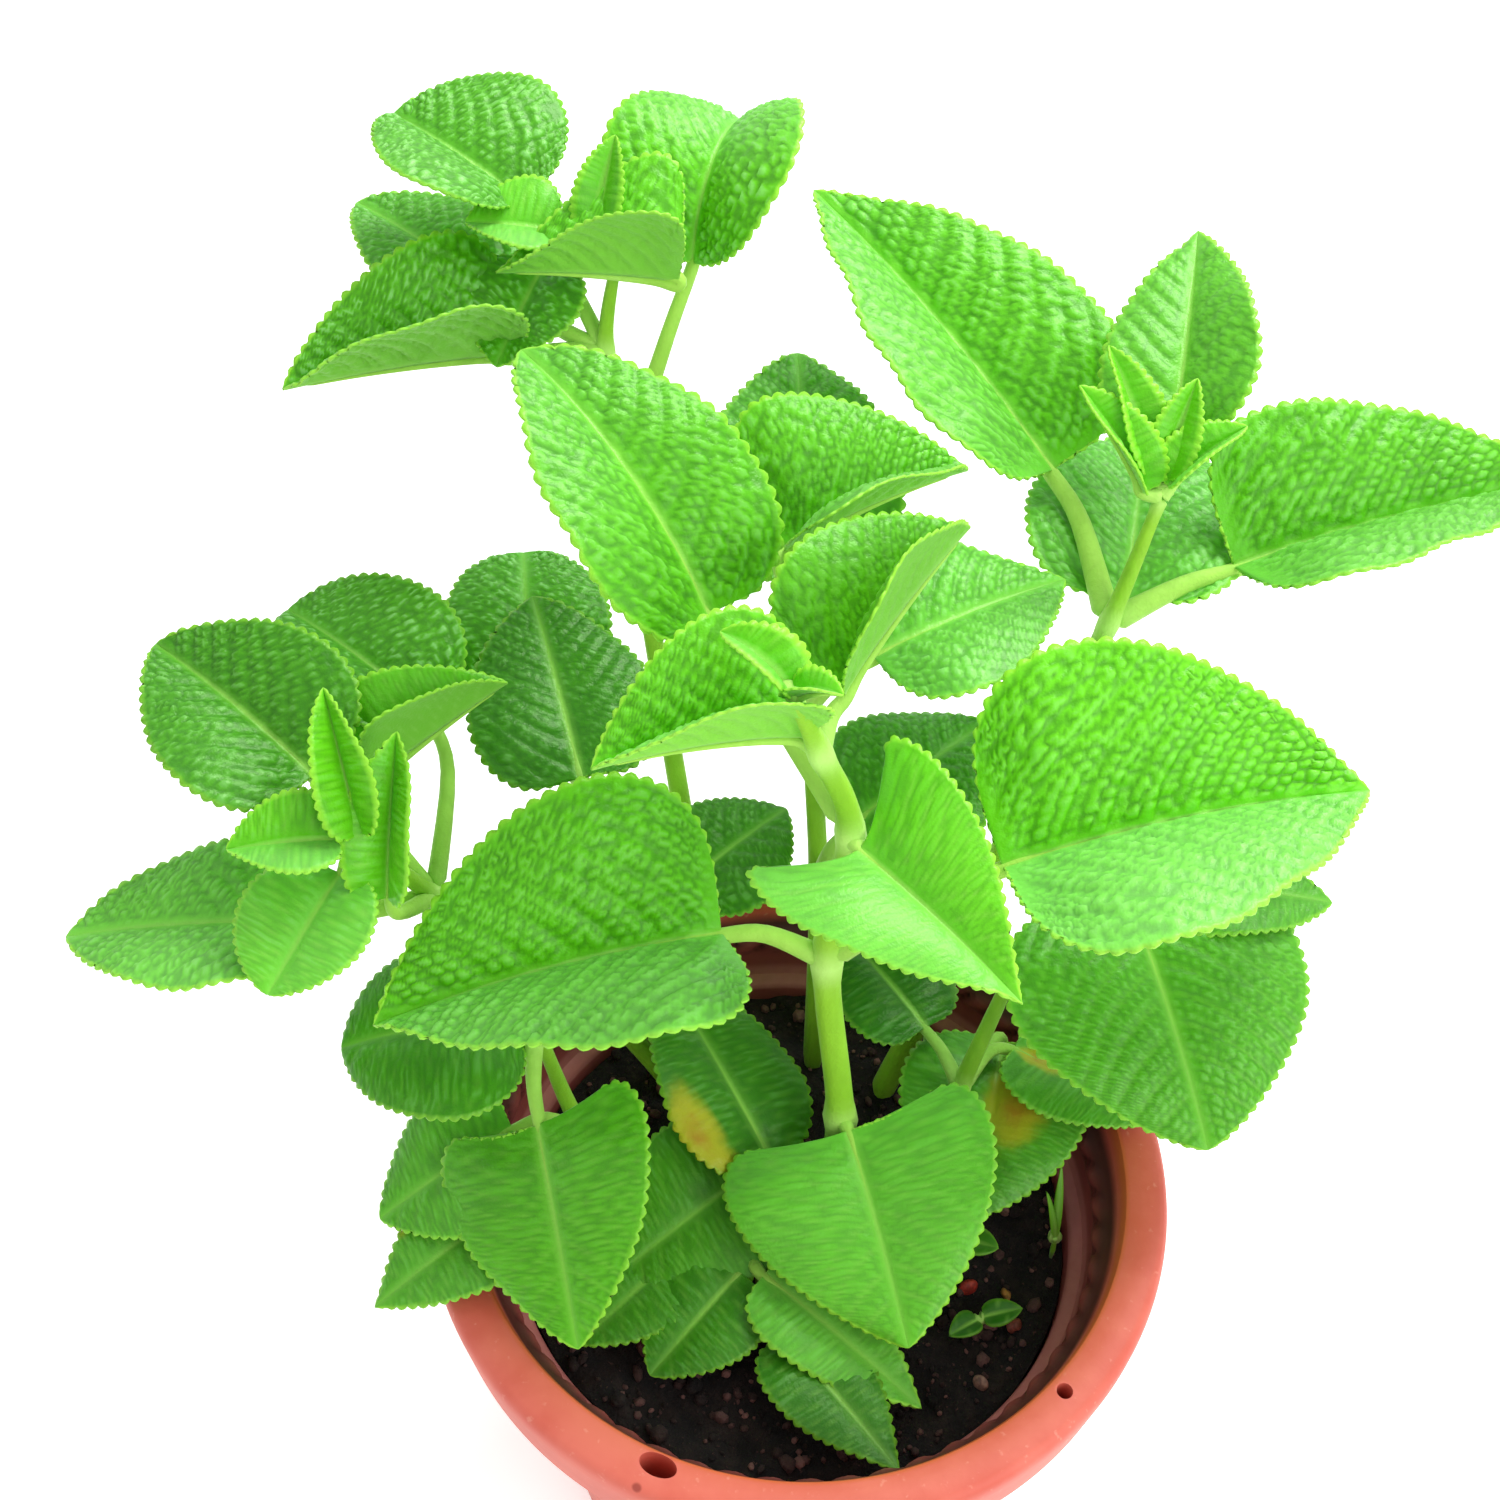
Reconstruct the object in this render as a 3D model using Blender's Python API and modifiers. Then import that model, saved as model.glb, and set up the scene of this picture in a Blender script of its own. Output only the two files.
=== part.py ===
"""A potted ajwain herb: a round clay-red plastic pot, its soil, nine leafy stems, two
seedlings and a grass sprout.

Metres, +Z up. The pot stands on z = 0 with its centre on the Z axis. The stem and leaf plan
below is in millimetres, with heights counted from the top of the pot's rim.
"""

import math

import bmesh
import bpy
from mathutils import Vector

mm = 0.001

# Pot
pot_height = 0.165
rim_radius = 0.103
rim_inner_radius = 0.0907
lip_drop = 0.024
wall_radius = 0.0885
base_radius = 0.068
base_inner_radius = 0.0652
floor_thickness = 0.005
# A moulded band inside the wall, and a ledge below it that the soil meets.
band_radius = 0.0853
band_top = 0.1494
band_foot = 0.1446
ledge_height = 0.1332
ledge_radius = 0.0803
ledge_width = 0.0035
ledge_slope = 0.0022
band_flare = (0.0036, 0.0056)
rim_bevel = 0.0022
lip_taper = 0.0030
pot_sides = 48
drain_hole_radius = 0.006
drain_ring_radius = 0.040
drain_holes = 6
cutter_reach = 0.005  # how far a cutter stands out of what it cuts
rim_hole_depth = 0.015
# Holes through the rim: centre, radius, stretch of an oval one and its turn in degrees.
rim_holes = {
    "rim_hole": ((0.0684, -0.0662), 0.0021, 1.0, 0),
    "rim_slot": ((-0.0334, -0.0886), 0.0029, 1.7, -21),
}

# Soil
soil_top = 0.130
soil_waves = 0.0016
soil_wave_rates = (190, 160)  # radians per metre along x and y
soil_shoulder = 0.002
# Rings of the soil's top: share of its radius, and height above its middle.
soil_rings = [(0.45, 0.0015), (0.75, -0.0012), (0.92, 0.0010)]
soil_gap = 0.0003
soil_sides = 36
root_gap = 0.0003

# Bits that lie half sunk in the soil: place and radius in millimetres.
soil_bits = [(50, -22, 2.4), (61, -23, 1.8), (62, -33, 2.2), (62, 3, 2.8), (52, -50, 2.6)]

# Leaves
blade_thickness = 0.0008
tooth_depth = 0.035
lobe_start = 40  # how soon beside the stalk the margin turns back to its lobes
long_blade = 44  # millimetres, with one more row of faces
short_blade = 30  # millimetres, with fewer teeth
stalk_radius = 0.0016
stalk_taper = (1.25, 1.05, 1.0, 0.45)
stalk_lead = 0.012  # the most of a stalk that runs straight on into its blade
short_stalk = 0.009
stalk_sides = 4
stem_sides = 6


# Outline of a blade: how fast it widens, how fast it narrows, and how far its lobes reach back.
ovate = (0.42, 0.82, 0.06)
acute = (0.4, 0.98, 0.03)
broad = (0.24, 0.88, 0.0)
blunt = (0.45, 0.6, 0.04)
tapered = (0.6, 0.7, 0.0)
oblong = (0.3, 0.45, 0.0)
cupped = (0.2, 1.1, 0.0)
arrow = (0.22, 1.15, 0.36)
notched = (0.24, 0.86, 0.15)


def leaf(node, base, heading, size, bend, outline=ovate):
    """One leaf: the stem node it grows from, where its blade begins, the turn and rise of
    the blade in degrees, its length and width, and its droop, roll and fold in degrees."""
    return dict(node=node, base=base, heading=heading, size=size, bend=bend, outline=outline)


# Each stem: points (x, y, height, radius) from root to tip, then its leaves.
stems = {
    "stem_centre": dict(
        colour=(0.22, 0.50, 0.06),
        path=[(10, 10, -60, 4.4), (10, 10, -32, 4.2), (12, 10, 3, 4.0), (5, 22, 60, 3.7),
              (8, 21, 112, 3.2), (-1, 19, 142, 2.6), (-9, 11, 170, 1.6)],
        leaves=[
            leaf(2, (14, 3, 7), (286, -14), (60, 76), (20, 14, 0), notched),
            leaf(3, (-23, 21, 71), (199, -3), (91, 90), (22, -10, 34), acute),
            leaf(3, (47, 24, 98), (14, 4), (98, 98), (22, 12, 32), acute),
            leaf(4, (10, 15, 113), (314, -8), (54, 56), (15, 18, 18), arrow),
            leaf(4, (-28, 56, 150), (136, 32), (80, 60), (44, 4, 14)),
            leaf(5, (-5, 20, 146), (199, 4), (50, 60), (20, 6, 52), acute),
            leaf(5, (4, 32, 148), (56, 14), (57, 60), (20, -20, 58), acute),
            leaf(6, (-9, 12, 168), (150, 25), (20, 18), (40, 0, 40)),
            leaf(6, (-8, 10, 168), (330, 30), (14, 12), (40, 0, 40)),
        ],
    ),
    "stem_back_left": dict(
        colour=(0.20, 0.46, 0.08),
        path=[(-16, 38, -60, 3.6), (-16, 38, -32, 3.5), (-30, 68, 20, 3.2),
              (-48, 118, 100, 2.8), (-55, 135, 130, 2.6), (-60, 149, 160, 2.3),
              (-56, 147, 190, 1.4)],
        leaves=[
            leaf(6, (-82, 167, 194), (152, 18), (43, 66), (10, 2, 20), blunt),
            leaf(4, (-37, 160, 182), (74, 24), (54, 58), (105, -5, 26), tapered),
            leaf(6, (-40, 144, 186), (182, 2), (47, 66), (10, 10, 50), cupped),
            leaf(5, (-84, 144, 162), (202, 2), (62, 66), (10, 0, 54), broad),
            leaf(5, (-92, 162, 170), (145, 10), (50, 46), (10, 0, 10)),
            leaf(5, (-77, 158, 180), (250, -25), (32, 34), (10, 0, 10)),
            leaf(6, (-72, 156, 192), (184, 6), (24, 30), (10, -10, 20)),
            leaf(6, (-62, 152, 194), (75, 45), (26, 16), (10, 0, 30)),
        ],
    ),
    "stem_right": dict(
        colour=(0.20, 0.48, 0.07),
        path=[(28, 44, -60, 3.8), (28, 44, -32, 3.7), (48, 64, 20, 3.3), (70, 92, 85, 2.8),
              (77, 91, 120, 2.3), (87, 105, 152, 1.5)],
        leaves=[
            leaf(4, (64, 136, 136), (131, 20), (111, 76), (15, -2, 24), acute),
            leaf(4, (112, 109, 126), (18, 5), (100, 76), (15, 6, 35), broad),
            leaf(5, (91, 121, 158), (80, 18), (72, 43), (20, -20, 15), acute),
            leaf(4, (83, 102, 119), (79, 0), (76, 62), (20, 0, 10)),
            leaf(5, (82, 104, 154), (139, 40), (32, 20), (10, 0, 45)),
            leaf(5, (88, 105, 155), (27, 30), (25, 20), (10, 0, 45)),
            leaf(5, (84, 110, 156), (122, 45), (34, 18), (10, 0, 35)),
            leaf(5, (87, 108, 156), (65, 50), (26, 16), (10, 0, 35)),
        ],
    ),
    "stem_left": dict(
        colour=(0.20, 0.46, 0.08),
        path=[(-26, 28, -60, 3.4), (-26, 28, -32, 3.3), (-50, 38, 0, 3.0), (-76, 38, 40, 2.6),
              (-98, 29, 72, 2.3), (-114, 23, 104, 1.4)],
        leaves=[
            leaf(5, (-127, 41, 104), (144, 12), (58, 54), (20, -12, 18)),
            leaf(4, (-130, 16, 76), (181, -8), (62, 48), (15, 0, 10)),
            leaf(5, (-118, 19, 92), (248, -14), (35, 36), (10, 0, 10), blunt),
            leaf(5, (-117, 21, 103), (192, 2), (27, 26), (10, -15, 30)),
            leaf(5, (-112, 22, 104), (112, 45), (37, 22), (10, -12, 50)),
            leaf(4, (-106, 15, 88), (86, 50), (42, 26), (10, -10, 45)),
            leaf(4, (-103, 71, 97), (148, 14), (50, 54), (20, 0, 20), blunt),
            leaf(4, (-112, 50, 96), (36, 18), (40, 46), (10, -16, 62), broad),
        ],
    ),
    "stem_low_left": dict(
        colour=(0.18, 0.44, 0.05),
        path=[(-38, 0, -60, 3.0), (-38, 0, -32, 2.9), (-59, 3, 0, 2.5), (-71, 8, 46, 1.6)],
        leaves=[
            leaf(3, (-69, -14, 32), (286, -24), (57, 60), (20, 28, 0), notched),
            leaf(2, (-77, -9, 22), (210, -22), (42, 44), (15, 0, 0)),
            leaf(3, (-75, 8, 42), (190, 2), (48, 56), (50, 0, 0), blunt),
            leaf(2, (-73, -22, 8), (218, -10), (47, 36), (25, 0, 0), acute),
        ],
    ),
    "stem_front": dict(
        colour=(0.16, 0.42, 0.05),
        path=[(-8, -18, -60, 2.8), (-8, -18, -32, 2.7), (-5, -9, -12, 1.8)],
        leaves=[
            leaf(2, (-10, 2, -11), (218, -12), (50, 50), (15, -10, 0)),
            leaf(2, (-7, 3, -9), (124, 18), (62, 46), (15, 15, 0)),
            leaf(1, (-15, -28, -17), (229, -14), (36, 34), (10, 0, 0)),
            leaf(1, (-27, -16, -19), (225, -8), (44, 32), (10, 0, 0)),
            leaf(1, (-8, -30, -14), (323, -10), (54, 30), (15, 0, 0), acute),
            leaf(1, (-3, -44, -20), (311, -2), (47, 29), (15, 0, 0), acute),
        ],
    ),
    "stem_low_right": dict(
        colour=(0.15, 0.42, 0.05),
        path=[(36, 8, -60, 3.0), (36, 8, -32, 2.9), (46, 20, 5, 2.5), (60, 36, 52, 1.6)],
        leaves=[
            leaf(3, (87, 45, 62), (285, -20), (70, 84), (20, 0, 0)),
            leaf(2, (60, 38, 2), (258, -12), (54, 54), (15, 0, 0)),
            leaf(2, (62, 32, 8), (330, -6), (42, 32), (15, 0, 0)),
            leaf(3, (94, 50, 62), (358, -4), (50, 34), (15, 0, 0)),
            leaf(2, (36, 34, 14), (128, 5), (38, 36), (15, 0, 0)),
        ],
    ),
    "stem_back": dict(
        colour=(0.17, 0.44, 0.06),
        path=[(6, 54, -60, 3.2), (6, 54, -32, 3.1), (4, 64, 40, 2.9), (-2, 76, 100, 2.4),
              (-8, 78, 138, 1.6)],
        leaves=[
            leaf(3, (-4, 112, 113), (92, 13), (84, 58), (15, 0, 10)),
            leaf(4, (-10, 86, 146), (28, 8), (54, 72), (20, -6, 44), broad),
            leaf(3, (14, 72, 123), (30, 2), (60, 56), (15, 4, 10), acute),
            leaf(2, (12, 56, 76), (45, 2), (54, 52), (15, 0, 0)),
        ],
    ),
    "stem_mid_left": dict(
        colour=(0.16, 0.42, 0.06),
        path=[(-40, 50, -60, 3.0), (-40, 50, -32, 2.9), (-46, 55, 20, 2.5), (-60, 60, 80, 1.6)],
        leaves=[
            leaf(3, (-62, 60, 86), (108, 14), (60, 52), (15, 0, 0)),
            leaf(3, (-80, 100, 80), (98, 18), (46, 48), (50, 0, 0), oblong),
            leaf(2, (-34, 50, 54), (42, 8), (38, 42), (15, 0, 0)),
        ],
    ),
}


# Seedlings that came up beside the stems.
seedlings = {
    "seedling_large": dict(
        colour=(0.12, 0.40, 0.06),
        path=[(51, -33, -44, 1.0), (51, -33, -31, 0.9), (52, -34, -27, 0.8)],
        leaves=[
            leaf(2, (53, -34, -26), (10, 10), (11, 8), (10, 0, 10)),
            leaf(2, (51, -35, -26), (215, 8), (10, 8), (10, 0, 10)),
        ],
    ),
    "seedling_small": dict(
        colour=(0.12, 0.40, 0.06),
        path=[(49, -11, -44, 1.0), (49, -11, -31, 0.9), (49, -11, -27, 0.8)],
        leaves=[
            leaf(2, (50, -11, -26), (340, 10), (9, 9), (10, 0, 10)),
            leaf(2, (48, -11, -26), (150, 10), (8, 8), (10, 0, 10)),
        ],
    ),
    "grass_sprout": dict(
        colour=(0.20, 0.45, 0.12),
        path=[(75, -10, -44, 0.9), (75, -10, -31, 0.8), (75, -9, -26, 0.7)],
        leaves=[
            leaf(2, (75, -9, -26), (88, 52), (22, 2.4), (30, 0, 0)),
            leaf(2, (75, -9, -26), (120, 60), (16, 2.2), (40, 0, 0)),
        ],
    ),
}


def clear_scene():
    for old in list(bpy.data.objects):
        bpy.data.objects.remove(old, do_unlink=True)


def new_collection(name):
    group = bpy.data.collections.new(name)
    bpy.context.scene.collection.children.link(group)
    return group


def place(point):
    """A plan point in millimetres as a vector in metres above the floor."""
    return Vector((point[0] * mm, point[1] * mm, point[2] * mm + pot_height))


def direction(turn, rise):
    turn, rise = math.radians(turn), math.radians(rise)
    return Vector((math.cos(turn) * math.cos(rise), math.sin(turn) * math.cos(rise),
                   math.sin(rise)))


def object_from(work, name, group):
    """An object in the group whose mesh takes over the worked shape."""
    mesh = bpy.data.meshes.new(name)
    work.to_mesh(mesh)
    work.free()
    thing = bpy.data.objects.new(name, mesh)
    group.objects.link(thing)
    return thing


def settle(thing):
    """Replaces the object's mesh with the one its modifiers make, then drops them."""
    bpy.context.view_layer.update()
    seen = thing.evaluated_get(bpy.context.evaluated_depsgraph_get())
    mesh = bpy.data.meshes.new_from_object(seen)
    thing.modifiers.clear()
    thing.data = mesh


def remove_group(group):
    for thing in list(group.objects):
        bpy.data.objects.remove(thing, do_unlink=True)
    bpy.data.collections.remove(group)


def turned(name, profile, sides, group):
    """A turned solid from an outline of (radius, height) points that starts and ends on
    the axis and runs down the outer side."""
    work = bmesh.new()
    points = [work.verts.new((radius, 0, height)) for radius, height in profile]
    for a, b in zip(points, points[1:]):
        work.edges.new((a, b))
    thing = object_from(work, name, group)
    screw = thing.modifiers.new("turn", "SCREW")
    screw.steps = screw.render_steps = sides
    screw.use_merge_vertices = True
    screw.merge_threshold = 0.0001
    settle(thing)
    return thing


def tube(name, path, sides, group):
    """A closed tube along points given with their radius, as a mesh."""
    curve = bpy.data.curves.new(name, "CURVE")
    curve.dimensions = "3D"
    curve.bevel_depth = 1
    curve.bevel_resolution = (sides - 4) // 2
    curve.use_fill_caps = True
    line = curve.splines.new("POLY")
    line.points.add(len(path) - 1)
    for point, (centre, radius) in zip(line.points, path):
        point.co = (*centre, 1)
        point.radius = radius
    guide = bpy.data.objects.new(name, curve)
    group.objects.link(guide)
    bpy.context.view_layer.update()
    seen = guide.evaluated_get(bpy.context.evaluated_depsgraph_get())
    work = bmesh.new()
    work.from_mesh(bpy.data.meshes.new_from_object(seen))
    bpy.data.objects.remove(guide, do_unlink=True)
    bmesh.ops.remove_doubles(work, verts=work.verts, dist=1e-6)
    bmesh.ops.recalc_face_normals(work, faces=work.faces)
    return object_from(work, name, group)


def rod_cutter(name, centre, radius, low, high, group, sides=16, stretch=1.0, turn=0.0):
    """An upright rod that cuts a hole, made oval by a stretch along its turn."""
    work = bmesh.new()
    bmesh.ops.create_cone(work, cap_ends=True, segments=sides, radius1=radius,
                          radius2=radius, depth=high - low)
    thing = object_from(work, name, group)
    thing.scale.x = stretch
    thing.rotation_euler.z = turn
    thing.location = (centre[0], centre[1], (low + high) / 2)
    thing.hide_render = True
    thing.display_type = "WIRE"
    return thing


def keep_main_skin(thing):
    """Keeps the largest closed skin, so that sealed hollows are filled and scraps dropped."""
    work = bmesh.new()
    work.from_mesh(thing.data)
    left, skins = set(work.faces), []
    while left:
        skin, rim = set(), [left.pop()]
        while rim:
            face = rim.pop()
            skin.add(face)
            for near in {other for line in face.edges for other in line.link_faces}:
                if near in left:
                    left.remove(near)
                    rim.append(near)
        skins.append(skin)
    skins.sort(key=lambda skin: sum(face.calc_area() for face in skin))
    spare = [face for skin in skins[:-1] for face in skin]
    bmesh.ops.delete(work, geom=spare, context="FACES")
    work.to_mesh(thing.data)
    work.free()


def join_group(thing, group):
    """Fuses all of the group's solids into the object, and removes them."""
    fuse = thing.modifiers.new("fuse", "BOOLEAN")
    fuse.operand_type = "COLLECTION"
    fuse.collection = group
    fuse.operation = "UNION"
    fuse.solver = "MANIFOLD"
    settle(thing)
    remove_group(group)
    keep_main_skin(thing)


def cut_with(thing, cutters):
    for cutter in cutters:
        cut = thing.modifiers.new(cutter.name, "BOOLEAN")
        cut.operation = "DIFFERENCE"
        cut.object = cutter


def smooth_path(points, steps):
    """Points with radii on a smooth curve through the given ones."""
    result = []
    last = len(points) - 1
    for i in range(last):
        a, b = points[max(i - 1, 0)], points[i]
        c, d = points[i + 1], points[min(i + 2, last)]
        for k in range(steps):
            t = k / steps
            weights = (-t + 2 * t**2 - t**3, 2 - 5 * t**2 + 3 * t**3,
                       t + 4 * t**2 - 3 * t**3, t**3 - t**2)
            result.append([sum(w * p[j] for w, p in zip(weights, (a, b, c, d))) / 2
                           for j in range(len(b))])
    result.append(list(points[last]))
    return result


def midrib_frame(plan, rows):
    """Points along the midrib, with the way along, the way across and the way up at each."""
    turn, rise = plan["heading"]
    droop, roll, _ = plan["bend"]
    length = plan["size"][0] * mm
    here = place(plan["base"])
    side = Vector((-math.sin(math.radians(turn)), math.cos(math.radians(turn)), 0))
    roll = math.radians(roll)
    frame = []
    for i in range(rows + 1):
        along = direction(turn, rise + droop * (0.5 - i / rows))
        up = along.cross(side)
        frame.append((here.copy(), along, side * math.cos(roll) + up * math.sin(roll),
                      up * math.cos(roll) - side * math.sin(roll)))
        here += direction(turn, rise + droop * (0.5 - (i + 0.5) / rows)) * length / rows
    return frame


def outline_at(plan, u):
    """Half the blade's width at a share of its length, and how far back its lobes reach."""
    widen, narrow, lobe = plan["outline"]
    peak = widen / (widen + narrow)
    most = peak**widen * (1 - peak)**narrow
    half = plan["size"][1] * mm / 2 * u**widen * (1 - u)**narrow / most
    back = lobe * plan["size"][0] * mm * (1 - u)**3
    return half, back * (1 - (1 - u)**lobe_start)


def blade(name, plan, group):
    """A leaf blade: a grid laid along the bent midrib, its margin cut into blunt teeth."""
    length = plan["size"][0]
    rows = 4 if length >= long_blade else 3
    teeth = 2 if length >= short_blade else 1
    steps = 2 * teeth
    frame = midrib_frame(plan, rows)
    fold = math.radians(plan["bend"][2])
    work = bmesh.new()
    bmesh.ops.create_grid(work, x_segments=rows * steps, y_segments=2, size=0.5)
    midrib, spare = {}, []
    for point in list(work.verts):
        step, way = round((point.co.x + 0.5) * rows * steps), round(point.co.y * 2)
        row = min(step // steps, rows - 1)
        part = step / steps - row
        here, along, across, up = (frame[row][k].lerp(frame[row + 1][k], part)
                                   for k in range(4))
        if way == 0 and step % steps == 0:
            point.co = here
            midrib[step // steps] = point
            continue
        if way == 0 or step in (0, rows * steps):
            spare.append((point, round(step / steps + 0.01)))
            continue
        half, back = outline_at(plan, step / (rows * steps))
        half *= 1 if step % 2 else 1 - tooth_depth
        out = across.normalized() * way * math.cos(fold) + up.normalized() * math.sin(fold)
        point.co = here - along.normalized() * back + out * half
    bmesh.ops.weld_verts(work, targetmap={point: midrib[row] for point, row in spare})
    bmesh.ops.triangulate(work, faces=work.faces)
    thing = object_from(work, name, group)
    thicken = thing.modifiers.new("thickness", "SOLIDIFY")
    thicken.thickness = blade_thickness
    thicken.offset = 0
    thicken.use_even_offset = True
    return thing


def leaf_stalk(name, plan, node, group):
    """A stalk that leaves its stem rising, and runs on a little way under the blade."""
    start, base = place(node), place(plan["base"])
    reach = (base - start).length
    lead = base - direction(*plan["heading"]) * min(reach * 0.35, stalk_lead)
    thick = stalk_radius * (0.75 + plan["size"][0] / 160)
    under, _, _, up = midrib_frame(plan, 5)[1]
    points = [start, start / 4 + lead / 2 + base / 4, base, under - up * blade_thickness * 0.6]
    path = [(point, thick * share) for point, share in zip(points, stalk_taper)]
    if reach < short_stalk:
        del path[1]
    return tube(name, path, stalk_sides, group)


def build_stem(name, plan, group):
    """A stem fused with its stalks and blades as one body."""
    parts = new_collection(name + "_leaves")
    points = plan["path"][:1] + smooth_path(plan["path"][1:], 2)
    stem = tube(name, [(place(p), p[3] * mm) for p in points], stem_sides, group)
    for i, item in enumerate(plan["leaves"]):
        leaf_stalk(f"{name}_stalk_{i}", item, plan["path"][item["node"]], parts)
        blade(f"{name}_blade_{i}", item, parts)
    join_group(stem, parts)
    return stem


def inner_radius(height):
    """The inside of the pot's wall below its ledge."""
    share = (height - floor_thickness) / (ledge_height - floor_thickness)
    return base_inner_radius + (ledge_radius - base_inner_radius) * share


def build_pot(group, cutters):
    top, lip = pot_height, pot_height - lip_drop
    profile = [
        (0, floor_thickness), (base_inner_radius, floor_thickness),
        (ledge_radius, ledge_height),
        (ledge_radius + ledge_width, ledge_height + ledge_slope),
        (band_radius, band_foot), (band_radius, band_top),
        (band_radius + band_flare[0], band_top + band_flare[1]),
        (rim_inner_radius, top - rim_bevel), (rim_inner_radius + rim_bevel, top),
        (rim_radius - rim_bevel, top), (rim_radius, top - rim_bevel),
        (rim_radius - lip_taper, lip), (wall_radius, lip), (base_radius, 0), (0, 0),
    ]
    pot = turned("pot", profile, pot_sides, group)
    holes = []
    for k in range(drain_holes):
        angle = 2 * math.pi * (k + 0.5) / drain_holes
        centre = (drain_ring_radius * math.cos(angle), drain_ring_radius * math.sin(angle))
        holes.append(rod_cutter(f"drain_{k}", centre, drain_hole_radius, -cutter_reach,
                                floor_thickness + cutter_reach, cutters))
    for name, (centre, radius, stretch, turn) in rim_holes.items():
        holes.append(rod_cutter(name, centre, radius, top - rim_hole_depth,
                                top + cutter_reach, cutters, 12, stretch,
                                math.radians(turn)))
    cut_with(pot, holes)
    return pot


def build_soil(group, cutters):
    """Soil that fills the pot to below its ledge, with a lumpy top and a hole for each stem."""
    base, shoulder = floor_thickness + soil_gap, soil_top - soil_shoulder
    flat_side = math.cos(math.pi / pot_sides)
    foot, side = (inner_radius(level) * flat_side - soil_gap for level in (base, shoulder))
    profile = [(0, soil_top)]
    profile += [(side * share, soil_top + rise) for share, rise in soil_rings]
    profile += [(side, shoulder), (foot, base), (0, base)]
    soil = turned("soil", profile, soil_sides, group)
    x_rate, y_rate = soil_wave_rates
    for point in soil.data.vertices:
        x, y, z = point.co
        if z > shoulder + root_gap:
            point.co.z += soil_waves * math.sin(x_rate * x) * math.cos(y_rate * y)
    bits = new_collection("soil_bits")
    for k, (x, y, radius) in enumerate(soil_bits):
        work = bmesh.new()
        bmesh.ops.create_icosphere(work, subdivisions=1, radius=radius * mm)
        bit = object_from(work, f"soil_bit_{k}", bits)
        bit.location = (x * mm, y * mm, soil_top)
    join_group(soil, bits)
    holes = []
    for name, plan in {**stems, **seedlings}.items():
        foot = plan["path"][0]
        holes.append(rod_cutter(name + "_hole", place(foot), foot[3] * mm + root_gap,
                                place(foot).z - root_gap, pot_height, cutters))
    cut_with(soil, holes)
    return soil


def paint(thing, colour, roughness):
    material = bpy.data.materials.new(thing.name)
    material.use_nodes = True
    shader = material.node_tree.nodes["Principled BSDF"]
    shader.inputs["Base Color"].default_value = (*colour, 1)
    shader.inputs["Roughness"].default_value = roughness
    thing.data.materials.clear()
    thing.data.materials.append(material)
    thing.data.shade_smooth()
    thing.data.set_sharp_from_angle(angle=math.radians(32))


def main():
    clear_scene()
    plant = new_collection("potted_ajwain")
    cutters = new_collection("cutters")
    cutters.hide_render = True
    paint(build_pot(plant, cutters), (0.60, 0.17, 0.10), 0.55)
    paint(build_soil(plant, cutters), (0.02, 0.014, 0.01), 0.95)
    for name, plan in {**stems, **seedlings}.items():
        paint(build_stem(name, plan, plant), plan["colour"], 0.6)


main()
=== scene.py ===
import math

import bpy
import numpy as np
from mathutils import Matrix, Vector, noise


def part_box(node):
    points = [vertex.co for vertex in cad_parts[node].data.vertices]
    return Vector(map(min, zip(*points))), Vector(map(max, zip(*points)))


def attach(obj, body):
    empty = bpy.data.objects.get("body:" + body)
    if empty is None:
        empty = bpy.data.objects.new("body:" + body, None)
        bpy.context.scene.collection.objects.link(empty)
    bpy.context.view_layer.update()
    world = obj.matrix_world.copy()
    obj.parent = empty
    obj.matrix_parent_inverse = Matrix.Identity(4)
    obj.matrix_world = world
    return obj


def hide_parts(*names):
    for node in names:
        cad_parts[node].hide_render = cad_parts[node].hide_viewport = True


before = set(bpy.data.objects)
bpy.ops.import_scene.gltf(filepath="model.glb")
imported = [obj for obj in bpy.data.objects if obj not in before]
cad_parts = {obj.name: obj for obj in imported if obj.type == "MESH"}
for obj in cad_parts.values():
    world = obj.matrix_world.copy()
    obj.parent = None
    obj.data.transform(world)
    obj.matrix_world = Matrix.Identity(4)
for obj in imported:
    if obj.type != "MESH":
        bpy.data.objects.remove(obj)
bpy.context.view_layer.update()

rimTop = round(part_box("pot")[1][2], 4)  # plan heights are counted from the rim's top
mm = 0.001
weldGap = 2e-6  # points closer than this are one
seam = 1 - 1e-6  # the last column of a sheet that is rolled up lies on its first
print("frame loaded,", len(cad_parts), "nodes")


# Shader helpers

class Socket:
    # a shader value: arithmetic on it adds Math nodes
    def __init__(self, finish, port):
        self.finish, self.port = finish, port

    def maths(self, operation, first, second=None):
        values = {0: first} if second is None else {0: first, 1: second}
        return self.finish.node("Math", {"operation": operation}, values)

    def __add__(self, other):
        return self.maths("ADD", self, other)

    def __sub__(self, other):
        return self.maths("SUBTRACT", self, other)

    def __mul__(self, other):
        return self.maths("MULTIPLY", self, other)

    def __pow__(self, other):
        return self.maths("POWER", self, other)

    def __rsub__(self, other):
        return self.maths("SUBTRACT", other, self)

    __radd__ = __add__
    __rmul__ = __mul__

    def clamped(self):
        return self.maths("MINIMUM", self.maths("MAXIMUM", self, 0.0), 1.0)

    def rising(self, low, high):
        # 0 below low, 1 above high
        return self.finish.node("MapRange", {"interpolation_type": "SMOOTHSTEP"},
                                {"Value": self, "From Min": low, "From Max": high})


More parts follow.
